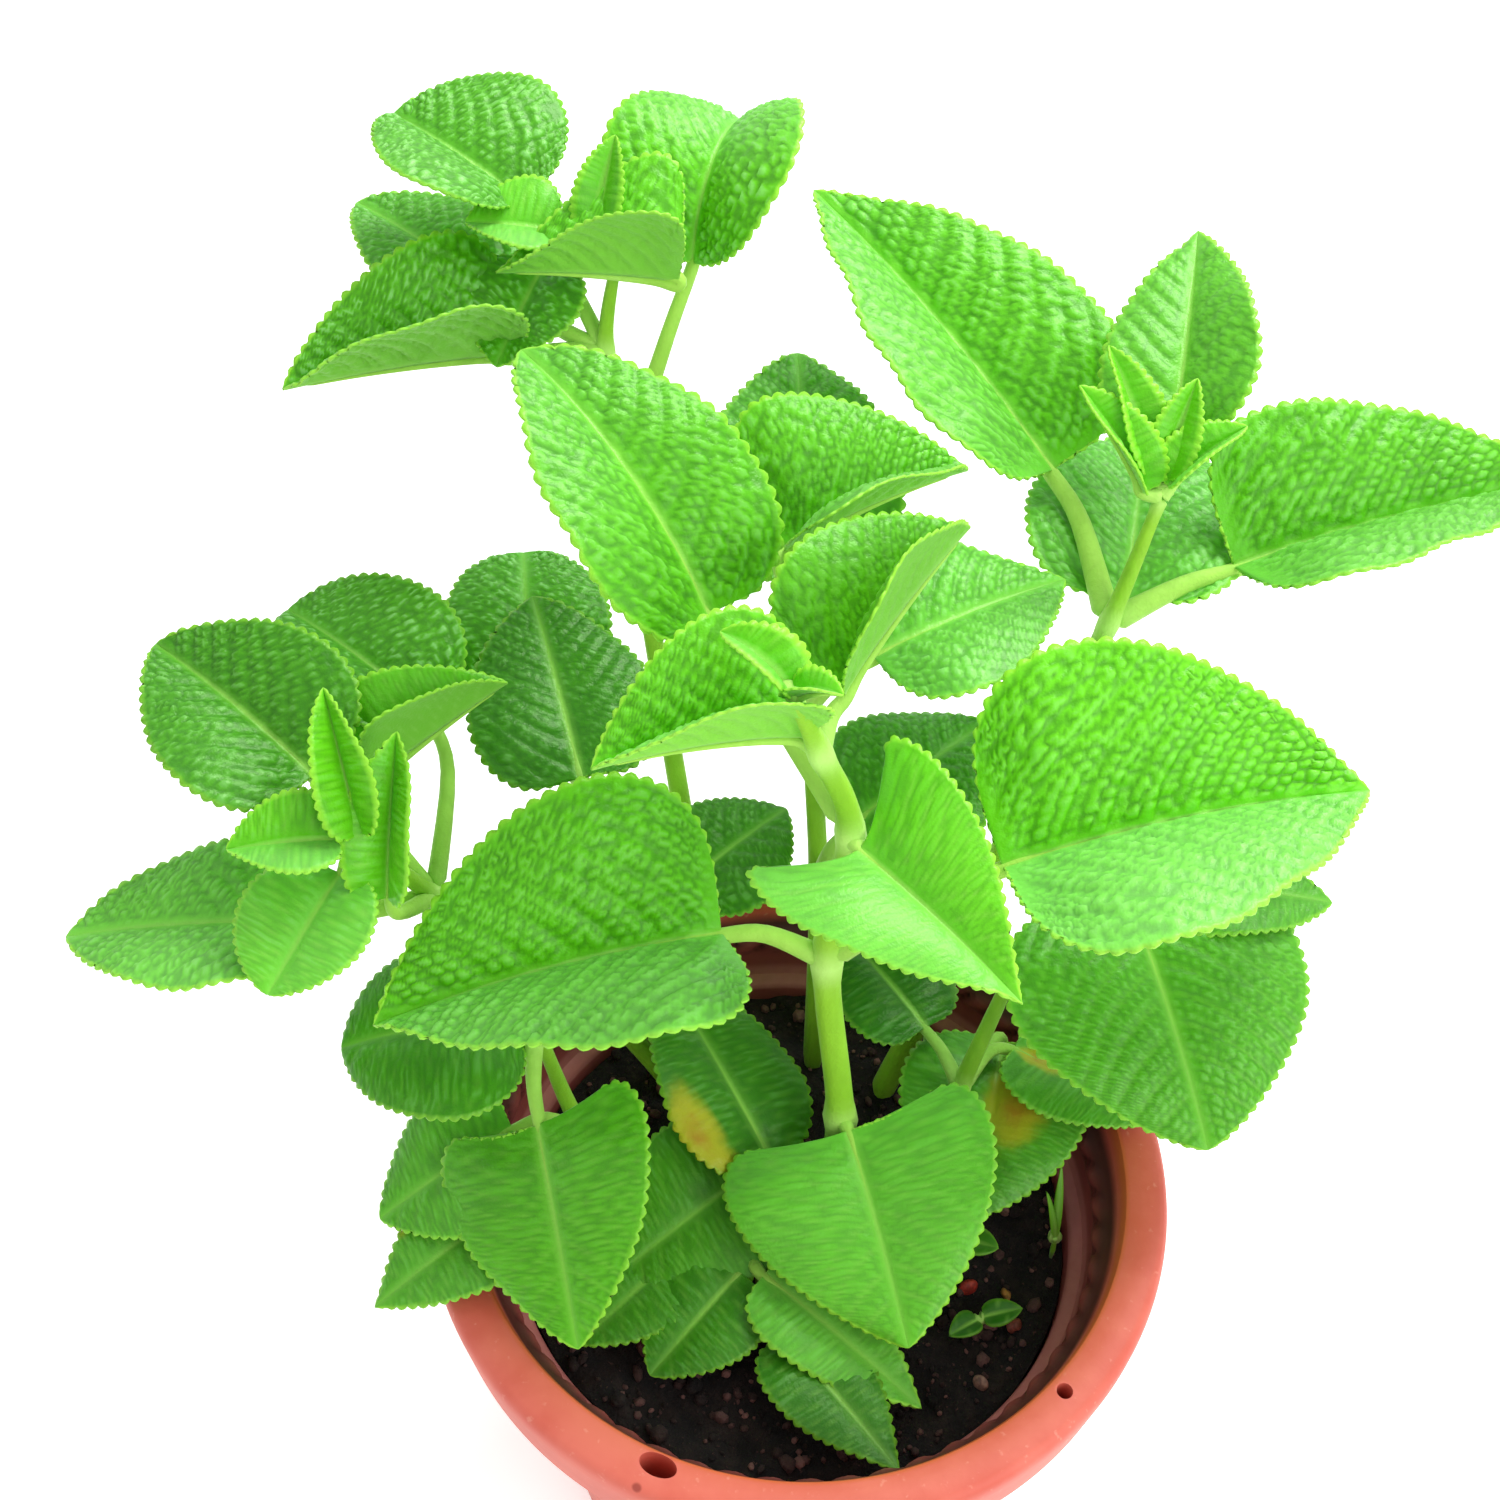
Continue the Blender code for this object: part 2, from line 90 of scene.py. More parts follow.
class Finish:
    # one material and the nodes in it
    def __init__(self, name):
        self.material = bpy.data.materials.new(name)
        self.material.use_nodes = True
        self.tree = self.material.node_tree
        self.tree.nodes.clear()

    def node(self, kind, settings=None, sockets=None, output=0):
        made = self.tree.nodes.new("ShaderNode" + kind)
        for key, value in (settings or {}).items():
            setattr(made, key, value)
        for key, value in (sockets or {}).items():
            if isinstance(value, Socket):
                self.tree.links.new(value.port, made.inputs[key])
            else:
                made.inputs[key].default_value = value
        return Socket(self, made.outputs[output])

    def attribute(self, name):
        return self.node("Attribute", {"attribute_name": name}, output="Fac")

    def place(self, stretch=(1, 1, 1)):
        spot = self.node("TexCoord", output="Object")
        if stretch == (1, 1, 1):
            return spot
        return self.node("Mapping", {}, {"Vector": spot, "Scale": stretch})

    def grain(self, size, detail=3.0, rough=0.55, vector=None):
        # noise whose features are about size metres across
        return self.node("TexNoise", {}, {"Vector": vector or self.place(), "Scale": 1 / size,
                                          "Detail": detail, "Roughness": rough})

    def mix(self, factor, first, second, blend="MIX"):
        first, second = (value if isinstance(value, Socket) else (*value, 1.0)
                         for value in (first, second))
        return self.node("Mix", {"data_type": "RGBA", "blend_type": blend},
                         {0: factor, 6: first, 7: second}, output=2)

    def bump(self, height, distance, strength=1.0, after=None):
        sockets = {"Height": height, "Distance": distance, "Strength": strength}
        if after is not None:
            sockets["Normal"] = after
        return self.node("Bump", {}, sockets)

    def surface(self, sockets, glow=None, share=0.0):
        # the principled shader, with a share of light let through in the glow colour
        skin = self.node("BsdfPrincipled", {}, sockets)
        if glow is not None:
            through = self.node("BsdfTranslucent", {}, {"Color": (*glow, 1.0)})
            skin = self.node("MixShader", {}, {0: share, 1: skin, 2: through})
        end = self.tree.nodes.new("ShaderNodeOutputMaterial")
        self.tree.links.new(skin.port, end.inputs["Surface"])
        return self.material


# Mesh helpers

def clearSelection():
    bpy.ops.object.select_all(action="DESELECT")


def pick(thing):
    clearSelection()
    thing.select_set(True)
    bpy.context.view_layer.objects.active = thing


def gridSheet(name, along, across):
    # a unit grid, with its points as shares of the way along and across
    clearSelection()
    bpy.ops.mesh.primitive_grid_add(x_subdivisions=along, y_subdivisions=across, size=1)
    sheet = bpy.context.object
    sheet.name = name
    shares = pointsOf(sheet) + 0.5
    return sheet, shares[:, 0], shares[:, 1]


def pointsOf(thing):
    flat = np.empty(len(thing.data.vertices) * 3)
    thing.data.vertices.foreach_get("co", flat)
    return flat.reshape(-1, 3)


def setPoints(thing, points):
    thing.data.vertices.foreach_set("co", np.asarray(points, np.float32).ravel())
    thing.data.update()


def setValues(thing, **values):
    for name, value in values.items():
        layer = thing.data.attributes.new(name, "FLOAT", "POINT")
        whole = np.broadcast_to(np.asarray(value, np.float32), (len(thing.data.vertices),))
        layer.data.foreach_set("value", whole.copy())


def weldSeams(thing):
    pick(thing)
    bpy.ops.object.mode_set(mode="EDIT")
    bpy.ops.mesh.select_all(action="SELECT")
    bpy.ops.mesh.remove_doubles(threshold=weldGap)
    bpy.ops.mesh.select_all(action="DESELECT")
    bpy.ops.object.mode_set(mode="OBJECT")


def addModifier(thing, kind, **settings):
    pick(thing)
    bpy.ops.object.modifier_add(type=kind)
    modifier = thing.modifiers[-1]
    for key, value in settings.items():
        setattr(modifier, key, value)
    bpy.ops.object.modifier_apply(modifier=modifier.name)


def joined(name, things):
    clearSelection()
    for thing in things:
        thing.select_set(True)
    bpy.context.view_layer.objects.active = things[0]
    bpy.ops.object.join()
    things[0].name = name
    things[0].data.name = name
    bpy.ops.object.shade_smooth()
    return things[0]


def smoothStep(x, low, high):
    t = np.clip((x - low) / (high - low), 0, 1)
    return t * t * (3 - 2 * t)


def planPlace(point):
    return np.array([point[0] * mm, point[1] * mm, point[2] * mm + rimTop])


def smoothPath(points, steps):
    # points on a smooth curve through the given ones
    points = np.asarray(points, float)
    padded = np.vstack([points[:1], points, points[-1:]])
    made = []
    for a, b, c, d in zip(padded, padded[1:], padded[2:], padded[3:]):
        for t in np.arange(steps) / steps:
            made.append(((-t + 2 * t**2 - t**3) * a + (2 - 5 * t**2 + 3 * t**3) * b
                         + (t + 4 * t**2 - 3 * t**3) * c + (t**3 - t**2) * d) / 2)
    return np.array(made + [points[-1]])


def tube(name, track, radii, sides, square=0.0):
    # a closed tube along the track; square flattens its four faces a little
    rings = len(track) - 1
    sheet, along, around = gridSheet(name, rings, sides)
    step = np.rint(along * rings).astype(int)
    ways = np.gradient(track, axis=0)
    ways /= np.linalg.norm(ways, axis=1)[:, None]
    slanting = abs(ways[0][2]) < 0.9
    side = np.cross(ways[0], (0.3, 0.2, 0.9) if slanting else (1, 0.2, 0))
    flanks = np.zeros_like(ways)
    for i, way in enumerate(ways):
        side = side - way * side.dot(way)
        side /= np.linalg.norm(side)
        flanks[i] = side
    fronts = np.cross(ways, flanks)
    angle = around * 2 * np.pi
    angle[around > seam] = 0.0
    reach = (radii[step] * (1 - square * np.cos(4 * angle)))[:, None]
    reach[(step == 0) | (step == rings)] = 0.0
    setPoints(sheet, track[step] + reach * (np.cos(angle)[:, None] * flanks[step]
                                            + np.sin(angle)[:, None] * fronts[step]))
    return sheet, step


# Leaf plan: the same stems and leaves as the frame's. Places are in millimetres, angles in
# degrees; heights are counted from the rim's top.

ovate = (0.42, 0.82, 0.06)
acute = (0.40, 0.98, 0.03)
broad = (0.24, 0.88, 0.0)
blunt = (0.45, 0.60, 0.04)
tapered = (0.60, 0.70, 0.0)
oblong = (0.30, 0.45, 0.0)
cupped = (0.20, 1.10, 0.0)
arrow = (0.22, 1.15, 0.36)
notched = (0.24, 0.86, 0.15)


def leaf(node, base, heading, size, bend, outline=ovate, tone=0.7, quilt=0.4, frost=0.25,
         spot=None):
    # tone runs from deep green to lime, quilt is the height of the puckers in millimetres,
    # frost is the strength of a pale painted highlight on the pucker tops, and spot is a blotch's
    # place along and across, size and depth
    return dict(node=node, base=base, heading=heading, size=size, bend=bend, outline=outline,
                tone=tone, quilt=quilt, frost=frost, spot=spot)


stems = {
    "stem_centre": dict(
        path=[(10, 10, -60, 4.4), (10, 10, -32, 4.2), (12, 10, 3, 4.0), (5, 22, 60, 3.7),
              (8, 21, 112, 3.2), (-1, 19, 142, 2.6), (-9, 11, 170, 1.6)],
        leaves=[
            leaf(2, (14, 3, 7), (286, -14), (60, 76), (20, 14, 0), notched, 0.76, 0.12, 0.1),
            leaf(3, (-23, 21, 71), (199, -3), (91, 90), (22, -10, 34), acute, 0.8, 0.5),
            leaf(3, (47, 24, 98), (14, 4), (98, 98), (22, 12, 32), acute, 1.0, 0.6),
            leaf(4, (10, 15, 113), (314, -8), (54, 56), (15, 18, 18), arrow, 0.88, 0.12, 0.1),
            leaf(4, (-28, 56, 150), (136, 32), (80, 60), (44, 4, 14), ovate, 0.7, 0.42),
            leaf(5, (-5, 20, 146), (199, 4), (50, 60), (20, 6, 52), acute, 0.95, 0.28),
            leaf(5, (4, 32, 148), (56, 14), (57, 60), (20, -20, 58), acute, 0.68, 0.26,
                 0.1),
            leaf(6, (-9, 12, 168), (150, 25), (20, 18), (40, 0, 40), tone=0.9, quilt=0.1),
            leaf(6, (-8, 10, 168), (330, 30), (14, 12), (40, 0, 40), tone=0.95, quilt=0.1),
        ],
    ),
    "stem_back_left": dict(
        path=[(-16, 38, -60, 3.6), (-16, 38, -32, 3.5), (-30, 68, 20, 3.2),
              (-48, 118, 100, 2.8), (-55, 135, 130, 2.6), (-60, 149, 160, 2.3),
              (-56, 147, 190, 1.4)],
        leaves=[
            leaf(6, (-82, 167, 194), (152, 18), (43, 66), (10, 2, 20), blunt, 0.52, 0.42, 0.6),
            leaf(4, (-37, 160, 182), (74, 24), (54, 58), (105, -5, 26), tapered, 0.9, 0.42,
                 0.5),
            leaf(6, (-40, 144, 186), (182, 2), (47, 66), (10, 10, 50), cupped, 0.85, 0.25),
            leaf(5, (-84, 144, 162), (202, 2), (62, 66), (10, 0, 54), broad, 0.7, 0.42, 0.7),
            leaf(5, (-92, 162, 170), (145, 10), (50, 46), (10, 0, 10), tone=0.66, quilt=0.4,
                 frost=0.6),
            leaf(5, (-77, 158, 180), (250, -25), (32, 34), (10, 0, 10), tone=0.6, quilt=0.3,
                 frost=0.7),
            leaf(6, (-72, 156, 192), (184, 6), (24, 30), (10, -10, 20), tone=0.85, quilt=0.1),
            leaf(6, (-62, 152, 194), (75, 45), (26, 16), (10, 0, 30), tone=0.7, quilt=0.1),
        ],
    ),
    "stem_right": dict(
        path=[(28, 44, -60, 3.8), (28, 44, -32, 3.7), (48, 64, 20, 3.3), (70, 92, 85, 2.8),
              (77, 91, 120, 2.3), (87, 105, 152, 1.5)],
        leaves=[
            leaf(4, (64, 136, 136), (131, 20), (111, 76), (15, -2, 24), acute, 0.8, 0.5,
                 0.35),
            leaf(4, (112, 109, 126), (18, 5), (100, 76), (15, 6, 35), broad, 0.72, 0.5, 0.3),
            leaf(5, (91, 121, 158), (80, 18), (72, 43), (20, -20, 15), acute, 0.66, 0.25,
                 0.1),
            leaf(4, (83, 102, 119), (79, 0), (76, 62), (20, 0, 10), tone=0.7, quilt=0.4,
                 frost=0.5),
            leaf(5, (82, 104, 154), (139, 40), (32, 20), (10, 0, 45), tone=0.9, quilt=0.1),
            leaf(5, (88, 105, 155), (27, 30), (25, 20), (10, 0, 45), tone=0.9, quilt=0.1),
            leaf(5, (84, 110, 156), (122, 45), (34, 18), (10, 0, 35), tone=0.9, quilt=0.1),
            leaf(5, (87, 108, 156), (65, 50), (26, 16), (10, 0, 35), tone=0.9, quilt=0.1),
        ],
    ),
    "stem_left": dict(
        path=[(-26, 28, -60, 3.4), (-26, 28, -32, 3.3), (-50, 38, 0, 3.0), (-76, 38, 40, 2.6),
              (-98, 29, 72, 2.3), (-114, 23, 104, 1.4)],
        leaves=[
            leaf(5, (-127, 41, 104), (144, 12), (58, 54), (20, -12, 18), tone=0.36, quilt=0.42,
                 frost=0.3),
            leaf(4, (-130, 16, 76), (181, -8), (62, 48), (15, 0, 10), tone=0.84, quilt=0.4,
                 frost=0.35),
            leaf(5, (-118, 19, 92), (248, -14), (35, 36), (10, 0, 10), blunt, 0.8, 0.1, 0.4),
            leaf(5, (-117, 21, 103), (192, 2), (27, 26), (10, -15, 30), tone=0.8, quilt=0.15),
            leaf(5, (-112, 22, 104), (112, 45), (37, 22), (10, -12, 50), tone=0.85,
                 quilt=0.15),
            leaf(4, (-106, 15, 88), (86, 50), (42, 26), (10, -10, 45), tone=0.85, quilt=0.1,
                 frost=0.5),
            leaf(4, (-103, 71, 97), (148, 14), (50, 54), (20, 0, 20), blunt, 0.52, 0.35, 0.7),
            leaf(4, (-112, 50, 96), (36, 18), (40, 46), (10, -16, 62), broad, 0.75, 0.1, 0.1),
        ],
    ),
    "stem_low_left": dict(
        path=[(-38, 0, -60, 3.0), (-38, 0, -32, 2.9), (-59, 3, 0, 2.5), (-71, 8, 46, 1.6)],
        leaves=[
            leaf(3, (-69, -14, 32), (286, -24), (57, 60), (20, 28, 0), notched, 0.58, 0.16, 0.1),
            leaf(2, (-77, -9, 22), (210, -22), (42, 44), (15, 0, 0), tone=0.58, quilt=0.2),
            leaf(3, (-75, 8, 42), (190, 2), (48, 56), (50, 0, 0), blunt, 0.34, 0.2),
            leaf(2, (-73, -22, 8), (218, -10), (47, 36), (25, 0, 0), acute, 0.5, 0.15,
                 spot=(0.5, -0.95, 0.26, 1.0)),
        ],
    ),
    "stem_front": dict(
        path=[(-8, -18, -60, 2.8), (-8, -18, -32, 2.7), (-5, -9, -12, 1.8)],
        leaves=[
            leaf(2, (-10, 2, -11), (218, -12), (50, 50), (15, -10, 0), tone=0.42, quilt=0.15),
            leaf(2, (-7, 3, -9), (124, 18), (62, 46), (15, 15, 0), tone=0.22, quilt=0.2,
                 spot=(0.26, 0.8, 0.36, 0.95)),
            leaf(1, (-15, -28, -17), (229, -14), (36, 34), (10, 0, 0), tone=0.25, quilt=0.15),
            leaf(1, (-27, -16, -19), (225, -8), (44, 32), (10, 0, 0), tone=0.35, quilt=0.15),
            leaf(1, (-8, -30, -14), (323, -10), (54, 30), (15, 0, 0), acute, 0.66, 0.15),
            leaf(1, (-3, -44, -20), (311, -2), (47, 29), (15, 0, 0), acute, 0.16, 0.15),
        ],
    ),
    "stem_low_right": dict(
        path=[(36, 8, -60, 3.0), (36, 8, -32, 2.9), (46, 20, 5, 2.5), (60, 36, 52, 1.6)],
        leaves=[
            leaf(3, (87, 45, 62), (285, -20), (70, 84), (20, 0, 0), tone=0.5, quilt=0.22),
            leaf(2, (60, 38, 2), (258, -12), (54, 54), (15, 0, 0), tone=0.42, quilt=0.15,
                 spot=(0.36, 0.25, 0.42, 0.95)),
            leaf(2, (62, 32, 8), (330, -6), (42, 32), (15, 0, 0), tone=0.42, quilt=0.15,
                 spot=(0.2, 0.0, 0.3, 0.9)),
            leaf(3, (94, 50, 62), (358, -4), (50, 34), (15, 0, 0), tone=0.5, quilt=0.2),
            leaf(2, (36, 34, 14), (128, 5), (38, 36), (15, 0, 0), tone=0.1, quilt=0.2),
        ],
    ),
    "stem_back": dict(
        path=[(6, 54, -60, 3.2), (6, 54, -32, 3.1), (4, 64, 40, 2.9), (-2, 76, 100, 2.4),
              (-8, 78, 138, 1.6)],
        leaves=[
            leaf(3, (-4, 112, 113), (92, 13), (84, 58), (15, 0, 10), tone=0.5, quilt=0.4,
                 frost=0.4),
            leaf(4, (-10, 86, 146), (28, 8), (54, 72), (20, -6, 44), broad, 0.76, 0.42, 0.3),
            leaf(3, (14, 72, 123), (30, 2), (60, 56), (15, 4, 10), acute, 0.78, 0.35, 0.5),
            leaf(2, (12, 56, 76), (45, 2), (54, 52), (15, 0, 0), tone=0.4, quilt=0.35),
        ],
    ),
    "stem_mid_left": dict(
        path=[(-40, 50, -60, 3.0), (-40, 50, -32, 2.9), (-46, 55, 20, 2.5), (-60, 60, 80, 1.6)],
        leaves=[
            leaf(3, (-62, 60, 86), (108, 14), (60, 52), (15, 0, 0), tone=0.22, quilt=0.32),
            leaf(3, (-80, 100, 80), (98, 18), (46, 48), (50, 0, 0), oblong, 0.5, 0.45, 0.8),
            leaf(2, (-34, 50, 54), (42, 8), (38, 42), (15, 0, 0), tone=0.3, quilt=0.3),
        ],
    ),
    "seedling_large": dict(
        path=[(51, -33, -44, 1.0), (51, -33, -31, 0.9), (52, -34, -27, 0.8)],
        leaves=[
            leaf(2, (53, -34, -26), (10, 10), (11, 8), (10, 0, 10), tone=0.06, quilt=0.0),
            leaf(2, (51, -35, -26), (215, 8), (10, 8), (10, 0, 10), tone=0.06, quilt=0.0),
        ],
    ),
    "seedling_small": dict(
        path=[(49, -11, -44, 1.0), (49, -11, -31, 0.9), (49, -11, -27, 0.8)],
        leaves=[
            leaf(2, (50, -11, -26), (340, 10), (9, 9), (10, 0, 10), tone=0.25, quilt=0.0),
            leaf(2, (48, -11, -26), (150, 10), (8, 8), (10, 0, 10), tone=0.25, quilt=0.0),
        ],
    ),
    "grass_sprout": dict(
        path=[(75, -10, -44, 0.9), (75, -10, -31, 0.8), (75, -9, -26, 0.7)],
        leaves=[
            leaf(2, (75, -9, -26), (88, 52), (22, 2.4), (30, 0, 0), tone=0.35, quilt=0.0),
            leaf(2, (75, -9, -26), (120, 60), (16, 2.2), (40, 0, 0), tone=0.35, quilt=0.0),
        ],
    ),
}

bladePlan = dict(
    thickness=0.0007,  # of a full-grown blade, in metres like all lengths here
    thinnest=0.6,  # a young blade's share of that thickness
    grownLength=0.08,  # a blade of this length is full grown; shorter ones are finer all over
    youngest=0.35,  # how fine the youngest are, as a share of a full-grown one
    lobeStart=40,  # how soon beside the stalk the margin turns back to its lobes
    lobeCurve=1.3,  # how the lobes bend back between the midrib and the margin
)
marginPlan = dict(
    toothPitch=0.0040,
    toothDepth=0.0008,
    tooth=(-0.9, 0.45, 0.9, 0.3),  # the way over one blunt tooth, as shares of its depth
    toothRoot=(0.9, 0.4),  # where teeth start across the half, and their share just inside
    toothedFrom=(0.013, 0.005),  # shorter or narrower blades have an even margin
    evenPitch=0.0012,  # a mesh step along an even margin
    fewest=4,  # mesh steps or teeth round a half
    calmEnd=0.006,  # teeth and waves die out over this stretch at the stalk and the tip
    waves=((0.0009, 210), (0.0006, 95)),  # heights, and radians per metre of length
)
netPlan = dict(
    cell=0.0013,  # a mesh cell across a quilted blade
    smoothCell=0.0024,  # and across one with a quilt of less than smoothQuilt
    smoothQuilt=0.21,
    fewest=3,  # mesh cells across a half
    drawn=0.5,  # how far a smooth half's rows of cells draw together at its two edges
)
quiltPlan = dict(
    rowGap=0.040,  # between rows of puckers, as a share of the length
    leastGap=0.0022,
    rowWaver=(0.16, 210),  # in rows, and radians per metre across
    pucker=0.0042,  # a pucker's length along its row
    youngPucker=0.4,  # the youngest blades' share of it
    slant=1.2,  # how much longer a row is than the way straight across
    sweep=(0.45, 0.72),  # how far the rows run forward, at once and near the margin
    height=2.2,  # a pucker's height, as a multiple of the leaf's quilt
    level=0.45,  # the share of a pucker that lies below the blade
    uneven=(0.75, 0.35, 130, 150),  # least and added height, radians per metre both ways
    sideVein=3,  # rows from one side vein to the next
    veinWidth=0.24,  # in rows
    veinSunk=0.6,  # the share of a pucker that a side vein takes away
    valleyWidth=0.6,  # in rows
    valleyDepth=2.6,  # a multiple of the leaf's quilt, which counts up to valleyQuilt here
    valleyQuilt=0.3,
    valleyLevel=0.3,
    bulge=0.08,  # how far each half arches, as a share of its width
    groove=(0.0006, 0.0011),  # over the midrib, depth and width
)
paintPlan = dict(
    quilted=0.3,  # from this quilt on, a blade shows no pale side veins
    rib=(0.0012, 0.75),  # the midrib's width, and the share that it loses to the tip
    margin=(0.0015, 0.0002),  # where the margin's colour begins and is full
    blotchReach=0.8,  # across the blade, against along it
    bloomWay=(0.0, 0.5, 0.866),  # halves that face this way, up and back towards the light, carry the most painted sheen
    bloomFrom=0.35,
)
stalkPlan = dict(
    radius=0.0019,
    sides=10,
    thicker=(0.75, 160),  # share of the radius, to which millimetres of length / 160 add
    lead=(0.35, 0.012),  # how far the stalk runs in line with its blade, at most
    shortest=0.009,  # a shorter stalk has no bend of its own
    foot=1.35,  # its foot's share of its radius
    ribs=((0.0, 0.85), (0.12, 0.55), (0.3, 0.42), (0.5, 0.32), (0.7, 0.22), (0.9, 0.12)),
    ribDrop=(0.75, 0.0002),  # how far the rib's middle lies under the blade
    pale=(0.35, 0.45, 0.006),  # least, added at the foot, and how far that reaches
)
stemPlan = dict(sides=16, square=0.05, swelling=0.28, ring=0.0032, ringRadius=0.003)


def direction(turn, tilt):
    return np.stack([np.cos(turn) * np.cos(tilt), np.sin(turn) * np.cos(tilt),
                     np.sin(tilt) + 0 * turn], -1)


def midribAt(plan, u):
    # points on the midrib, with the ways along, across and up there
    turn, rise = np.radians(plan["heading"])
    droop, roll, _ = np.radians(plan["bend"])
    fine = np.linspace(0, 1, 201)
    ways = direction(turn, rise + droop * (0.5 - fine))
    track = np.vstack([np.zeros(3), np.cumsum((ways[1:] + ways[:-1]) / 2, axis=0)])
    track = track * plan["size"][0] * mm / 200 + planPlace(plan["base"])
    here = np.stack([np.interp(u, fine, track[:, k]) for k in range(3)], -1)
    along = direction(turn, rise + droop * (0.5 - u))
    side = np.broadcast_to([-math.sin(turn), math.cos(turn), 0], along.shape)
    up = np.cross(along, side)
    return (here, along, side * math.cos(roll) + up * math.sin(roll),
            up * math.cos(roll) - side * math.sin(roll))


def outlineAt(plan, u):
    # half the width there, and how far back the lobes reach
    widen, narrow, lobe = plan["outline"]
    peak = widen / (widen + narrow)
    most = peak**widen * (1 - peak)**narrow
    half = plan["size"][1] * mm / 2 * u**widen * (1 - u)**narrow / most
    back = lobe * plan["size"][0] * mm * (1 - u)**3
    return half, back * (1 - (1 - u)**bladePlan["lobeStart"])


def evenMargin(plan, parts):
    # shares of the length that part the margin into even steps, with its outward normal
    fine = np.linspace(0, 1, 1601)
    fine = fine * fine * (3 - 2 * fine)
    half, back = outlineAt(plan, fine)
    x = plan["size"][0] * mm * fine - back
    steps = np.hypot(np.diff(x), np.diff(half))
    steps[0] = max(steps[0], 1e-9)
    run = np.concatenate([[0], np.cumsum(steps)])
    count = parts(run[-1])
    at = np.linspace(0, run[-1], count + 1)
    u = np.interp(at, run, fine)
    dx, dy = np.gradient(np.interp(at, run, x)), np.gradient(np.interp(at, run, half))
    size = np.hypot(dx, dy)
    return u, np.stack([-dy / size, dx / size], -1), at, run[-1]


def scatter(i, j, seed):
    # two even random numbers for each cell of a net
    first = np.sin(i * 127.1 + j * 311.7 + seed * 74.7) * 43758.5453
    second = np.sin(i * 269.5 + j * 183.3 + seed * 91.3) * 24634.6345
    return first - np.floor(first), second - np.floor(second)


def puckers(s, t, seed):
    # an uneven net of cells: 0 on the small veins, rising to about 1 inside each cell
    nearest, second = np.full(len(s), 9.0), np.full(len(s), 9.0)
    i, j = np.floor(s), np.floor(t)
    for di in (-1, 0, 1):
        for dj in (-1, 0, 1):
            a, b = scatter(i + di, j + dj, seed)
            gap = np.hypot(i + di + 0.38 + 0.24 * a - s, (j + dj + 0.1 + 0.8 * b - t) * 1.15)
            second = np.minimum(second, np.maximum(nearest, gap))
            nearest = np.minimum(nearest, gap)
    return smoothStep(second - nearest, 0.0, 0.7)


